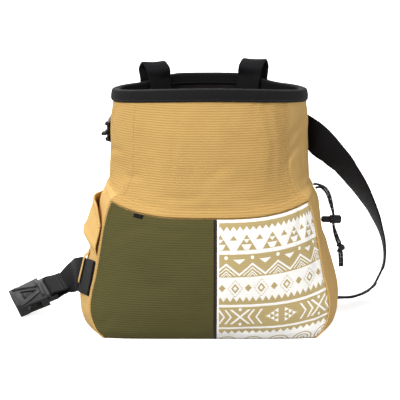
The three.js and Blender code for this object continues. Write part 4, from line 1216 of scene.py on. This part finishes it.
class CHALKBAG_OT_drawcord(PieceOperator, bpy.types.Operator):
    """Make the two strands of the drawcord with their tails, and the knot"""

    bl_idname = "chalkbag.drawcord"
    bl_label = "Drawcord"

    def make(self, form, sizes, colours):
        diameter = sizes.cord_diameter / MM
        material = cord_material("Drawcord braid", colours.cord, colours.fleck, diameter)
        knot = self.knot(material, diameter)
        for side in ("front", "back"):
            points = cord_points(side)
            piece = tube_object(f"cord_{side}", points, diameter, material)
            dress(piece, "cord", f"drawcord_{side}", f"cord_tail_{side}")
            path = [tuple(at * MM) for at, _ in points]
            length = sum((Vector(b) - Vector(a)).length for a, b in zip(path, path[1:]))
            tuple(path[0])

    def knot(self, material, diameter):
        """Three turns of the cord round itself, drawn tight."""
        low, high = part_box("drawcord_knot")
        middle, half = (low + high) / 2 / MM, (high - low) / 2 / MM
        turns, steps = [], 28
        for turn, (tilt, radius, squeeze) in enumerate(KNOT_TURNS):
            spin = Matrix.Rotation(math.radians(tilt), 3, "Y")
            spin = spin @ Matrix.Rotation(math.radians(25 * turn), 3, "Z")
            points = []
            for angle in (TURN * step / steps for step in range(steps + 1)):
                rise = squeeze + 0.1 * math.sin(2 * angle)
                at = spin @ Vector((math.cos(angle) * radius, math.sin(angle) * radius, rise))
                points.append(at * half + middle)
            pairs = [(points[(step + 1) % steps], points[(step - 1) % steps]) for step in range(steps + 1)]
            ways = [(after - before).normalized() for after, before in pairs]
            turns.append(tube_object(f"turn_{turn}", list(zip(points, ways)), diameter * 1.25, material))
        return dress(joined("cord_knot", turns, material), "cord", "drawcord_knot")


class CHALKBAG_OT_canvas(PieceOperator, bpy.types.Operator):
    """Make the canvas body with its gussets, corner seams and flat floor"""

    bl_idname = "chalkbag.canvas"
    bl_label = "Canvas body"

    def make(self, form, sizes, colours):
        places = places_round()
        girth = girth_of(form, places)
        low = np.concatenate([[0, 0.004, 0.012, 0.025], np.linspace(0.045, 0.97, 58), [0.985, 0.992, 0.997]])
        levels = np.concatenate([low, [1.0, 1.006, 1.014, 1.024, 1.036, 1.05], np.linspace(1.07, 2.0, 56)])
        shares = (0.0, 0.35, 0.7, 0.94, 0.985)
        rings = disc_rings(form.cloth(places, 0.0, 0.0), shares, (0.25, 0.25, 0.25, 0.25, 0.0))
        heights = [np.full(len(places), (share - 1) * FLOOR_REACH) for share in shares]
        for level in levels:
            ridge = seam_ridge(places) * (RIDGE_BELOW if level < 1 else RIDGE_ABOVE)
            offset = np.where(behind_pockets(places, level), -form.recess, ridge)
            offset = offset + (hem_lift(level) if level >= 1 else 0) - groove_depth(level)
            ring = form.cloth(places, level, offset, crease=1.0)
            ring[:, 2] = np.maximum(ring[:, 2], 0) if level else 0
            rings.append(ring)
            heights.append(ring[:, 2])
        outer_rows = len(rings)
        for level in np.concatenate([np.linspace(2.0, 1.0, 22), np.linspace(0.95, 0.05, 16)]):
            ring = form.cloth(places, level, -form.shell_wall)
            rings.append(ring)
            heights.append(ring[:, 2])
        shares = (0.97, 0.5, 0.0)
        rings += disc_rings(rings[-1], shares, [form.shell_wall] * 3)
        heights += [np.full(len(places), share * FLOOR_REACH) for share in shares]
        cloth = [np.stack([girth, np.append(height, height[0])], -1) for height in heights]

        def face_slot(row, step):
            if row >= outer_rows:
                return 2
            place = places[step] + 0.002
            ribbed = row > outer_rows - 58 and -1.9 < place < -1
            return 1 if 1 < abs(place) < 3 and not ribbed else 0

        materials = [
            ribbed_canvas("Ribbed canvas", colours.canvas, form.rib_pitch),
            twill("Gusset twill", colours.gusset),
            twill("Canvas inside", scaled(colours.canvas, 0.8)),
        ]
        piece = ring_object("canvas_body", rings, {"cloth": cloth}, materials, face_slot, merge=0.002)
        dress(piece, "canvas", "body_shell")
        thread = thread_material("Tan thread", scaled(colours.canvas, 0.9))
        lines = []
        for rise in (1.04, 1.065):
            span = np.linspace(-0.985, 0.985, 150)
            lines.append(form.cloth(span, rise, 0.25 + hem_lift(rise) - groove_depth(rise), crease=1.0))
        for corner in (1, -1, 3, -3):
            inward = 0.045 if abs(corner) == 1 else -0.045
            place = corner - math.copysign(inward, corner)
            rise = np.linspace(1.08, 1.93, 90)
            lines.append(form.cloth(place, rise, 0.2, crease=1.0))
            if abs(corner) == 3:
                rise = np.linspace(0.06, 0.98, 90)
                lines.append(form.cloth(place, rise, 0.2, crease=1.0))
        stitches("canvas_stitches", lines, sizes, thread, "canvas")


class CHALKBAG_OT_rim(PieceOperator, bpy.types.Operator):
    """Make the lining and the bound rim with its two rows of stitches"""

    bl_idname = "chalkbag.rim"
    bl_label = "Lining and rim"

    def make(self, form, sizes, colours):
        places = places_round()
        girth = girth_of(form, places)
        self.lining(form, places, girth, fleece_material("Fleece lining", colours.lining))
        inside = -(form.shell_wall + form.lining_wall + 2 * form.clearance)
        wall, tall = form.binding_wall, form.binding_height
        top_middle = inside / 2
        half_span = wall - top_middle
        section = [(form.clearance, tall), (form.clearance + wall * 0.55, tall + 0.15),
                   (form.clearance + wall, tall - 0.6)]
        for share in np.linspace(0.12, 0.9, 8):
            section.append((form.clearance + wall + 0.75 * math.sin(math.pi * share), tall * (1 - share)))
        for angle in np.linspace(10, 170, 13):
            turn = math.radians(angle)
            section.append((top_middle + half_span * math.cos(turn), 1.7 * (1 - math.sin(turn))))
        for share in np.linspace(0.2, 0.95, 6):
            section.append((inside - wall, tall * share))
        section += [(inside - wall * 0.5, tall + 0.15), (inside, tall)]
        section += [(inside, wall), (form.clearance, wall)]
        rim = form.rim_top(places)
        waver = 0.35 * value_noise(places * 5 + 40, places * 0 + 3, 8)
        rings = []
        for offset, drop in section:
            bulge = waver * (1 if offset > 0 else 0.4) * math.sin(math.pi * min(1, drop / tall))
            rings.append(form.beside(places, rim - drop, np.asarray(offset + bulge)))
        rings = np.array(rings)
        lengths = [0.0]
        for before, after in zip(section, section[1:] + section[:1]):
            lengths.append(lengths[-1] + math.dist(before, after))
        cloth = [[(g, length) for g in girth] for length in lengths]
        material = tape_material("Rim tape", colours.binding)
        piece = ring_object("rim_tape", rings, {"cloth": cloth}, [material], closed=True)
        make_outward(piece)
        dress(piece, "binding", "rim_binding")
        thread = thread_material("Rim thread", scaled(colours.binding, THREAD_LIGHTER))
        lines, ring = [], np.append(places, places[0])
        for offset in (form.clearance + wall + 0.45, inside - wall - 0.1):
            height = np.append(rim, rim[0]) - tall + RIM_STITCH_INSET
            lines.append(form.beside(ring, height, np.asarray(offset)))
        stitches("rim_stitches", lines, sizes, thread, "binding")

    def lining(self, form, places, girth, material):
        depth = form.shell_wall + form.clearance
        inner = depth + form.lining_wall
        levels = np.concatenate([[LINING_FOOT, 0.07, 0.1], np.linspace(0.14, 1.98, 60)])

        def wall_ring(level, offset):
            ring = form.cloth(places, level, -offset)
            if offset == inner:
                bumps = np.maximum(0.5 * value_noise(places * 6 + 30, places * 0 + level * 12, 11), 0)
                ring = ring - form.outwards(places, level) * bumps[:, None]
            return ring

        rings = disc_rings(wall_ring(LINING_FOOT, depth), (0.0, 0.5, 0.97), [depth] * 3)
        for offset, order in ((depth, levels), (inner, levels[::-1])):
            for level in order:
                ring = wall_ring(level, offset)
                if level < 0.1:
                    ring[:, 2] = offset + level * form.waist_side
                rings.append(ring)
        heights = (inner, inner + LINING_SAG, inner + LINING_SAG)
        rings += disc_rings(wall_ring(LINING_FOOT, inner), (0.97, 0.5, 0.0), heights)
        cloth = [np.stack([girth, np.append(ring[:, 2], ring[0, 2])], -1) for ring in rings]
        piece = ring_object("fleece_lining", rings, {"cloth": cloth}, [material], merge=0.002)
        make_outward(piece)
        dress(piece, "lining", "lining")


def panel_grid(form, left, right):
    """Places and levels of a front panel; left and right are x in millimetres, or None for the corner."""
    middle = np.linspace(0.05, 0.93, 96)
    levels = np.concatenate([[0.008, 0.016, 0.03], middle, [0.95, 0.965, 0.978, 0.988]])
    corner = form.section(levels)[2]
    low = np.full(len(levels), -0.985) if left is None else left / corner
    high = np.full(len(levels), 0.985) if right is None else right / corner
    return levels, low, high


def panel_fullness(share, level, left_soft, right_soft):
    """How far a pocket panel stands off, most in its middle and nothing along its seams."""
    edge = np.minimum(share if left_soft else 1, (1 - share) if right_soft else 1)
    return 0.9 * smoothstep(0, 0.12, edge) * smoothstep(0.0, 0.12, level) * smoothstep(0.0, 0.07, 1 - level)


class CHALKBAG_OT_pockets(PieceOperator, bpy.types.Operator):
    """Make the olive and the printed pocket panel, the strip between them and the small tab"""

    bl_idname = "chalkbag.pockets"
    bl_label = "Front pockets"

    def make(self, form, sizes, colours):
        half = form.strip_width / 2
        olive = ribbed_canvas("Olive canvas", colours.olive, form.rib_pitch, contrast=0.07, wear=0.3)
        printed = printed_canvas(
            "Printed canvas", colours.ground, colours.ink, form.rib_pitch, form.motif_width
        )
        strip = tape_material("Pocket strip", colours.strip)
        left, right = form.pocket_split - half, form.pocket_split + half
        self.panel(form, "olive_panel", "pocket_olive", "olive", olive, None, left - form.clearance)
        self.panel(form, "printed_panel", "pocket_print", "print", printed, right + form.clearance, None)
        self.strip(form, strip, left, right)
        self.tab(form, webbing_material("Tab tape", colours.webbing, 1.1))
        self.threads(form, sizes, colours)

    def panel(self, form, name, node, slot, material, left, right):
        share = np.linspace(0, 1, 110)
        levels, low, high = panel_grid(form, left, right)
        fullness = panel_fullness(share[None, :], levels[:, None], left is None, right is None)
        self.sheet(form, name, node, slot, material, (levels, low, high), share, fullness, form.pocket_wall)

    def strip(self, form, material, left, right):
        share = np.linspace(0, 1, 8)
        grid = panel_grid(form, left, right)
        offset = 0.15 + 0.55 * np.sin(np.pi * share)[None, :]
        self.sheet(form, "pocket_strip", "pocket_zip", "zip", material, grid, share, offset, 0.8)

    def sheet(self, form, name, node, slot, material, grid, share, offset, wall):
        """A panel over a grid of places and levels, with the map of the cloth and of the print."""
        levels, low, high = grid
        place = low[:, None] + (high - low)[:, None] * share[None, :]
        level = np.repeat(levels[:, None], len(share), 1)
        front = form.cloth(place, level, offset, crease=1.0)
        back = form.cloth(place, level, offset - wall, crease=1.0)
        front[..., 2] = np.maximum(front[..., 2], 0.6)
        x = place * form.section(level)[2]
        across = x + 200 if slot == "olive" else x - x[:, :1]
        gather = 0.3 + 0.83 * smoothstep(0.45, 0.85, level)
        phase = x / form.motif_width + gather * np.clip(place, 0, 1) ** 8.3 - 1.4
        drop = form.waist(place) * (1 - level)
        maps = {"cloth": np.stack([across, front[..., 2]], -1), "motif": np.stack([phase, drop], -1)}
        dress(sheet_object(name, front, back, maps, [material]), slot, node)

    def tab(self, form, material):
        low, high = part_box("pocket_tab")
        middle = (low + high) / 2 / MM
        corner = float(form.section(np.array(0.97))[2])
        place, half = middle.x / corner, TAB_HALF / corner
        across = np.linspace(-1, 1, 9)
        up = np.linspace(-1, 1, 8)
        rows = TAB_LEVEL + TAB_RISE * up[:, None] + 0 * across[None, :]
        columns = place + half * across[None, :] + 0 * up[:, None]
        puff = TAB_PUFF * (1 - across[None, :] ** 4) * np.sqrt(np.clip(1 + up[:, None], 0, 1))
        back_gap = form.clearance + TAB_GAP
        front = form.cloth(columns, rows, back_gap + 0.25 + puff, crease=1.0)
        back = form.cloth(columns, rows, back_gap, crease=1.0)
        cloth = np.stack([across[None, :] * 5.2 + 0 * rows, up[:, None] * 2.4 + 0 * rows], -1)
        piece = sheet_object("pull_tab", front, back, {"cloth": cloth}, [material])
        dress(piece, "webbing", "pocket_tab")

    def threads(self, form, sizes, colours):
        rise = np.linspace(0.03, 0.965, 90)
        corner = form.section(rise)[2]
        half = form.strip_width / 2 + form.clearance
        white = thread_material("Light thread", scaled(colours.ink, 0.75))
        green = thread_material("Olive thread", scaled(colours.olive, 1.25))
        for name, slot, thread, side, insets in (
            ("print_stitches", "print", white, 1, (1.1, 2.9)),
            ("olive_stitches", "olive", green, -1, (1.1, 3.2)),
        ):
            places = [(form.pocket_split + side * (half + inset)) / corner for inset in insets]
            lines = [form.cloth(place, rise, 0.25, crease=1.0) for place in places]
            lines.append(form.cloth(side * 0.965, rise, 0.35, crease=1.0))
            stitches(name, lines, sizes, thread, slot)


class CHALKBAG_OT_side_pocket(PieceOperator, bpy.types.Operator):
    """Make the open side pocket on the left gusset and the small flap under it"""

    bl_idname = "chalkbag.side_pocket"
    bl_label = "Side pocket"

    def make(self, form, sizes, colours):
        columns = np.linspace(-1.04, -2.6, 60)
        across = -columns
        mouth = smooth_table(-POCKET_COLUMNS[:, 0], POCKET_COLUMNS[:, 1], across)
        puff = smooth_table(-POCKET_COLUMNS[:, 0], POCKET_COLUMNS[:, 2], across)
        low, middle, high = np.linspace(0, 0.3, 16), np.linspace(0.33, 0.93, 26), [0.945, 0.96, 0.98, 1.0]
        share = np.concatenate([low, middle, high])
        stand = smooth_table(POCKET_ROWS[:, 0], POCKET_ROWS[:, 1], share)
        level = POCKET_BOTTOM + (mouth - POCKET_BOTTOM)[None, :] * share[:, None]
        place = columns[None, :] + 0 * level
        hem = POCKET_HEM * smoothstep(0.9, 0.925, share)[:, None]
        wrinkle = 0.6 * value_noise(place * 5 + 50, level * 16 + 4, 21) * np.sin(np.pi * share)[:, None]
        gap = POCKET_SEAT + POCKET_STANDOFF * stand[:, None] * np.maximum(puff, 0)[None, :] + wrinkle * 0.6
        gap = np.maximum(gap, POCKET_LEAST_GAP)
        back = form.cloth(place, level, gap)
        front = form.cloth(place, level, gap + POCKET_WALL + hem)
        girth = -place * POCKET_MAP_REACH
        cloth = np.stack([girth, front[..., 2]], -1)
        material = twill("Side pocket twill", scaled(colours.gusset, 1.04))
        piece = sheet_object("side_pouch", front, back, {"cloth": cloth}, [material])
        make_outward(piece)
        dress(piece, "canvas", "side_pocket")
        thread = thread_material("Side thread", scaled(colours.canvas, 1.1))
        level = POCKET_BOTTOM + (mouth - POCKET_BOTTOM) * POCKET_STITCH_SHARE
        stand = float(smooth_table(POCKET_ROWS[:, 0], POCKET_ROWS[:, 1], np.array(POCKET_STITCH_SHARE)))
        lift = POCKET_SEAT + POCKET_STANDOFF * stand * np.maximum(puff, 0) + POCKET_WALL + POCKET_STITCH_LIFT
        line = form.cloth(columns[2:-2], level[2:-2], lift[2:-2])
        stitches("pouch_stitches", [line], sizes, thread, "canvas")
        self.flap(form, material)

    def flap(self, form, material):
        place, up = SHORT_BELT[-1]
        top = up * form.waist_side + form.belt_width / 2 + 10
        low = 2 * form.clearance + FLAP_WALL / 2
        high = form.belt_standoff + form.belt_thickness + 3 * form.clearance + FLAP_WALL / 2
        stations = []
        for drop, offset in ((0, low), (0.09, low), (0.2, high), (0.55, high), (1, high)):
            at = form.beside_vector(place + 0.12, top - drop * form.flap_drop, offset)
            stations.append((at, form.along_body(place, top)))
        piece = webbing_object("belt_flap", stations, (form.flap_width, FLAP_WALL), 6, material)
        dress(piece, "canvas", "side_flap")


def haul_stations(form, place):
    top = float(form.rim_top(np.array(place)))
    inside = (form.shell_wall + form.lining_wall + 3 * form.clearance + form.binding_wall
              + form.haul_thickness / 2)
    outside = 2 * form.clearance + form.binding_wall + 0.5 + form.haul_thickness / 2
    sagitta = form.haul_width ** 2 / (8 * form.mouth_depth / 4)
    rows = (
        (7, -inside - sagitta, -38, 0), (5, -inside - sagitta - 0.4, -form.binding_height - 3, 0),
        (3, -inside - sagitta - 0.6, 0, 0), (1, -inside - sagitta - 1.5, form.haul_rise * 0.6, 0.5),
        (0, (outside - inside) / 2, form.haul_rise, 0.5), (0, outside + 2.2, form.haul_rise * 0.6, 0.5),
        (0, outside + 1.4, 0, 0), (0, outside, -form.binding_height - 3, 0),
        (0, outside - form.binding_wall, -23, 0),
    )
    along = form.along_body(place, top - form.binding_height)
    slide_place = math.copysign(1, place) / float(form.section(np.array(2.0))[2])
    sideways = Vector((math.copysign(1, along.x), 0, 0))
    stations = []
    for slide, offset, rise, face in rows:
        at = form.beside_vector(place + slide * slide_place, top + min(rise, -form.binding_height), offset)
        at.z = top + rise
        stations.append((at, along.lerp(sideways, face).normalized()))
    return stations


def ribbon_line(stations, side, lift):
    """A line along webbing at a distance from its middle, lifted off its face."""
    return [at + across * side + face * lift for at, across, face in webbing_frames(stations, 6)]


class CHALKBAG_OT_haul_loops(PieceOperator, bpy.types.Operator):
    """Make the two webbing haul loops over the back of the rim"""

    bl_idname = "chalkbag.haul_loops"
    bl_label = "Haul loops"

    def make(self, form, sizes, colours):
        material = webbing_material("Haul loop webbing", colours.webbing)
        thread = thread_material("Loop thread", scaled(colours.webbing, THREAD_LIGHTEST))
        size, lines = (form.haul_width, form.haul_thickness), []
        for side, place in HAUL_PLACES.items():
            stations = haul_stations(form, place)
            piece = webbing_object(f"haul_webbing_{side}", stations, size, 9, material)
            dress(piece, "webbing", f"haul_loop_{side}")
            at, _, face = webbing_frames(stations, 6)[-4]
            outward = 1 if face.dot(Vector((at.x, at.y, 0))) > 0 else -1
            lift = outward * (form.haul_thickness / 2 + THREAD_LIFT)
            for edge in (-1, 1):
                line = ribbon_line(stations, edge * (form.haul_width / 2 - HAUL_STITCH_INSET), lift)
                lines.append(line[-13:-2])
            lower, upper = ribbon_line(stations, -9.5, lift), ribbon_line(stations, 9.5, lift)
            lines += [[lower[index], upper[index]] for index in (-3, -12)]
        stitches("haul_stitches", lines, sizes, thread, "webbing")


def loop_station(form, row):
    out, back, share, turn = row
    angle = math.radians(turn)
    across = Vector((0, 0, 1)) * math.cos(angle) + LOOP_LEAN * math.sin(angle)
    at = Vector((out * form.base_width / 2, back * form.base_depth / 2, share * form.belt_height))
    return at, across


def lying_station(form, place, height):
    """Upright webbing that lies on the body and leans as it does."""
    half = form.belt_width / 2
    offset = form.belt_standoff + form.belt_thickness / 2
    low = form.beside_vector(place, height - half, offset)
    high = form.beside_vector(place, height + half, offset)
    place_at, height_at = np.array(float(place)), np.array(float(height))
    face = Vector(form.outwards(place_at, form.level_at(place_at, height_at)))
    chord, middle = (low + high) / 2, form.beside_vector(place, height, offset)
    at = chord if chord.dot(face) > middle.dot(face) else middle
    return at, (high - low).normalized()


def sewn_station(form, offset):
    across = (-form.along_body(SEWN_PLACE, SEWN_HEIGHT) + Vector((0, 0, 0.3))).normalized()
    return form.beside_vector(SEWN_PLACE, SEWN_HEIGHT, offset), across


def plug_frame(form):
    """The way along the plug, and its middle."""
    offset = 4 * form.clearance + PLUG_THICKNESS / 2
    middle = form.beside_vector(PLUG_PLACE, form.belt_height, offset)
    return form.along_body(PLUG_PLACE, form.belt_height), middle


def long_belt_stations(form):
    stations = [sewn_station(form, 4 * form.clearance), sewn_station(form, form.belt_width / 4)]
    stations += [loop_station(form, row) for row in BELT_LOOP]
    stations += [lying_station(form, place, form.belt_height) for place in BELT_PLACES]
    along, middle = plug_frame(form)
    stations.append((middle - along * (PLUG_LENGTH / 2 + 3 * form.clearance), Vector((0, 0, 1))))
    return stations


def socket_axes(form):
    """The middle of the socket's mouth, and the ways along, across and out of the socket."""
    along = SOCKET_ALONG
    across = (SOCKET_ACROSS - along * SOCKET_ACROSS.dot(along)).normalized()
    face = along.cross(across)
    if face.z < 0:
        face.negate()
    out, back, rise = SOCKET_MOUTH
    mouth = Vector((out * form.base_width / 2, back * form.base_depth / 2, rise))
    return mouth, along, across, face


def short_belt_stations(form):
    mouth, along, across, face = socket_axes(form)
    stations = [lying_station(form, place, share * form.waist_side) for place, share in SHORT_BELT]
    upright = stations[-1][1]
    bend = math.hypot(SOCKET_BAR_SIZE, SOCKET_BAR_SIZE) / 2 + form.clearance + form.belt_thickness / 2
    for out, back, share, turn in SHORT_SWING:
        at = Vector((out * form.base_width / 2, back * form.base_depth / 2, share * form.waist_side))
        stations.append((at, upright.lerp(across, turn).normalized()))

    def at_socket(forward, rise):
        return mouth + along * forward + face * rise

    stations.append((at_socket(SOCKET_BAR + 12, -1.6), across))
    for angle in (-90, -135, 180, 135, 90):
        turn = math.radians(angle)
        stations.append((at_socket(SOCKET_BAR + bend * math.cos(turn), bend * math.sin(turn)), across))
    stations += [(at_socket(SOCKET_BAR + 9, 1.9), across), (at_socket(SOCKET_BAR + 16, 1.3), across)]
    return stations


class CHALKBAG_OT_belt(PieceOperator, bpy.types.Operator):
    """Make the long and the short piece of the waist belt with their keepers and stitches"""

    bl_idname = "chalkbag.belt"
    bl_label = "Waist belt"

    def make(self, form, sizes, colours):
        material = webbing_material("Belt webbing", colours.webbing, 1.7)
        keeper = webbing_material("Keeper webbing", scaled(colours.webbing, 0.9), 1.2)
        thread = thread_material("Belt thread", scaled(colours.webbing, THREAD_LIGHTEST))
        belt, band = (form.belt_width, form.belt_thickness), (form.keeper_width, form.keeper_thickness)
        short_stations = short_belt_stations(form)
        left, right = (self.keeper_stations(form, place) for place in (-KEEPER_PLACE, KEEPER_PLACE))
        for name, node, stations, size, each, cloth in (
            ("belt_webbing_long", "belt_long", long_belt_stations(form), belt, 10, material),
            ("belt_webbing_short", "belt_short", short_stations, belt, 8, material),
            ("keeper_webbing_left", "belt_keeper_left", left, band, 6, keeper),
            ("keeper_webbing_right", "belt_keeper_right", right, band, 6, keeper),
        ):
            dress(webbing_object(name, stations, size, each, cloth), "webbing", node)
        _, _, across, face = socket_axes(form)
        points = [at for at, _, _ in webbing_frames(short_stations, 8)]
        lift = face * (form.belt_thickness / 2 + THREAD_LIFT)
        reach = across * 0.8 * form.belt_width / 2
        lines = [[at - reach + lift, at + reach + lift] for at in (points[-4], points[-8])]
        stitches("belt_stitches", lines, sizes, thread, "webbing")

    def keeper_stations(self, form, place):
        half, middle = form.belt_width / 2, form.belt_height
        low = form.clearance + form.keeper_thickness / 2
        high = form.belt_standoff + form.belt_thickness + 3 * form.clearance + form.keeper_thickness / 2
        profile = (
            (half + 6.5, low), (half + 4, low), (half + 1.5, high), (0, high),
            (-half - 1.5, high), (-half - 4, low), (-half - 6.5, low),
        )
        along = form.along_body(place, middle)
        return [(form.beside_vector(place, middle + rise, offset), along) for rise, offset in profile]


class CHALKBAG_OT_buckle(PieceOperator, bpy.types.Operator):
    """Make the socket and the plug of the side-release buckle"""

    bl_idname = "chalkbag.buckle"
    bl_label = "Buckle"

    def make(self, form, sizes, colours):
        material = plastic_material("Buckle plastic", colours.plastic)
        mouth, along, across, face = socket_axes(form)

        def slim(forward):
            """How far the socket is drawn in towards its mouth."""
            return 1 - 0.13 * (1 - float(smoothstep(3, 20, forward)))

        def narrow(point):
            off = point / MM - mouth
            return point + across * (off.dot(across) * (slim(off.dot(along)) - 1)) * MM

        def on_socket(across_by, forward, rise):
            return mouth + across * across_by * slim(forward) + along * forward + face * rise

        def rib(points, size, side=1):
            """A raised rib on one face of the socket."""
            placed = [on_socket(x, y, z * side) for x, y, z in points]
            run = (placed[-1] - placed[0]).normalized()
            stations = [(at, face.cross(run)) for at in placed]
            return webbing_object("rib", stations, size, 3, material)

        parts = [cad_copy("socket_core", "buckle_socket", material, 0.9, move=narrow), rib(*FRONT_BAR)]
        parts += [rib(points, size, side) for side in (1, -1) for points, size in SOCKET_RIBS]
        for edge in (1, -1):
            for step in range(4):
                forward = GRIP_START + GRIP_STEP * step
                grip = [(on_socket(edge * GRIP_SIDE, forward, rise), along) for rise in (-3.4, 0, 3.4)]
                parts.append(webbing_object("grip", grip, GRIP_SIZE, 2, material))
        dress(joined("socket_moulding", parts, material), "plastic", "buckle_socket")

        plug_along, middle = plug_frame(form)
        upright = Vector((0, 0, 1))

        def shorten(point):
            """The plug's side arms drawn in beside its guide, and the front half narrowed."""
            off = point / MM - middle
            reach, rise = off.dot(plug_along), off.dot(upright)
            moved = point - upright * (rise * 0.42 * float(smoothstep(-8, -1, reach))) * MM
            if abs(rise) > PLUG_GUIDE and reach > PLUG_ROOT:
                moved -= plug_along * (reach - PLUG_ROOT) * 0.65 * MM
            return moved

        dress(cad_copy("plug_moulding", "buckle_plug", material, 0.9, move=shorten), "plastic", "buckle_plug")


class CHALKBAG_OT_cord_lock(PieceOperator, bpy.types.Operator):
    """Make the barrel and the plunger of the spring cord lock"""

    bl_idname = "chalkbag.cord_lock"
    bl_label = "Cord lock"

    def make(self, form, sizes, colours):
        material = plastic_material("Cord lock plastic", colours.plastic)
        for name, node, body in (
            ("lock_barrel", "cord_lock_body", BODY), ("lock_plunger", "cord_lock_plunger", "plunger"),
        ):
            dress(cad_copy(name, node, material, 0.5, 40), "plastic", node, body=body)


OPERATORS = (
    CHALKBAG_OT_stage,
    CHALKBAG_OT_cord_lock,
    CHALKBAG_OT_drawcord,
    CHALKBAG_OT_canvas,
    CHALKBAG_OT_rim,
    CHALKBAG_OT_pockets,
    CHALKBAG_OT_side_pocket,
    CHALKBAG_OT_haul_loops,
    CHALKBAG_OT_belt,
    CHALKBAG_OT_buckle,
)


class CHALKBAG_PT_panel(bpy.types.Panel):
    """Sizes, colours and pieces of the chalk bag"""

    bl_idname = "CHALKBAG_PT_panel"
    bl_label = "Chalk Bag"
    bl_space_type = "VIEW_3D"
    bl_region_type = "UI"
    bl_category = "Chalk Bag"

    def draw(self, context):
        scene = context.scene
        for group, keys in ((scene.chalk_bag_sizes, SIZES), (scene.chalk_bag_colours, COLOURS)):
            box = self.layout.box()
            for key in keys:
                box.prop(group, key)
        for operator in OPERATORS:
            self.layout.operator(operator.bl_idname)


CLASSES = (ChalkBagSizes, ChalkBagColours, *OPERATORS, CHALKBAG_PT_panel)


def register():
    for cls in CLASSES:
        bpy.utils.register_class(cls)
    bpy.types.Scene.chalk_bag_sizes = bpy.props.PointerProperty(type=ChalkBagSizes)
    bpy.types.Scene.chalk_bag_colours = bpy.props.PointerProperty(type=ChalkBagColours)


def unregister():
    del bpy.types.Scene.chalk_bag_colours
    del bpy.types.Scene.chalk_bag_sizes
    for cls in reversed(CLASSES):
        bpy.utils.unregister_class(cls)


def main():
    register()
    for operator in OPERATORS:
        group, name = operator.bl_idname.split(".")
        getattr(getattr(bpy.ops, group), name)()


if __name__ == "__main__":
    main()
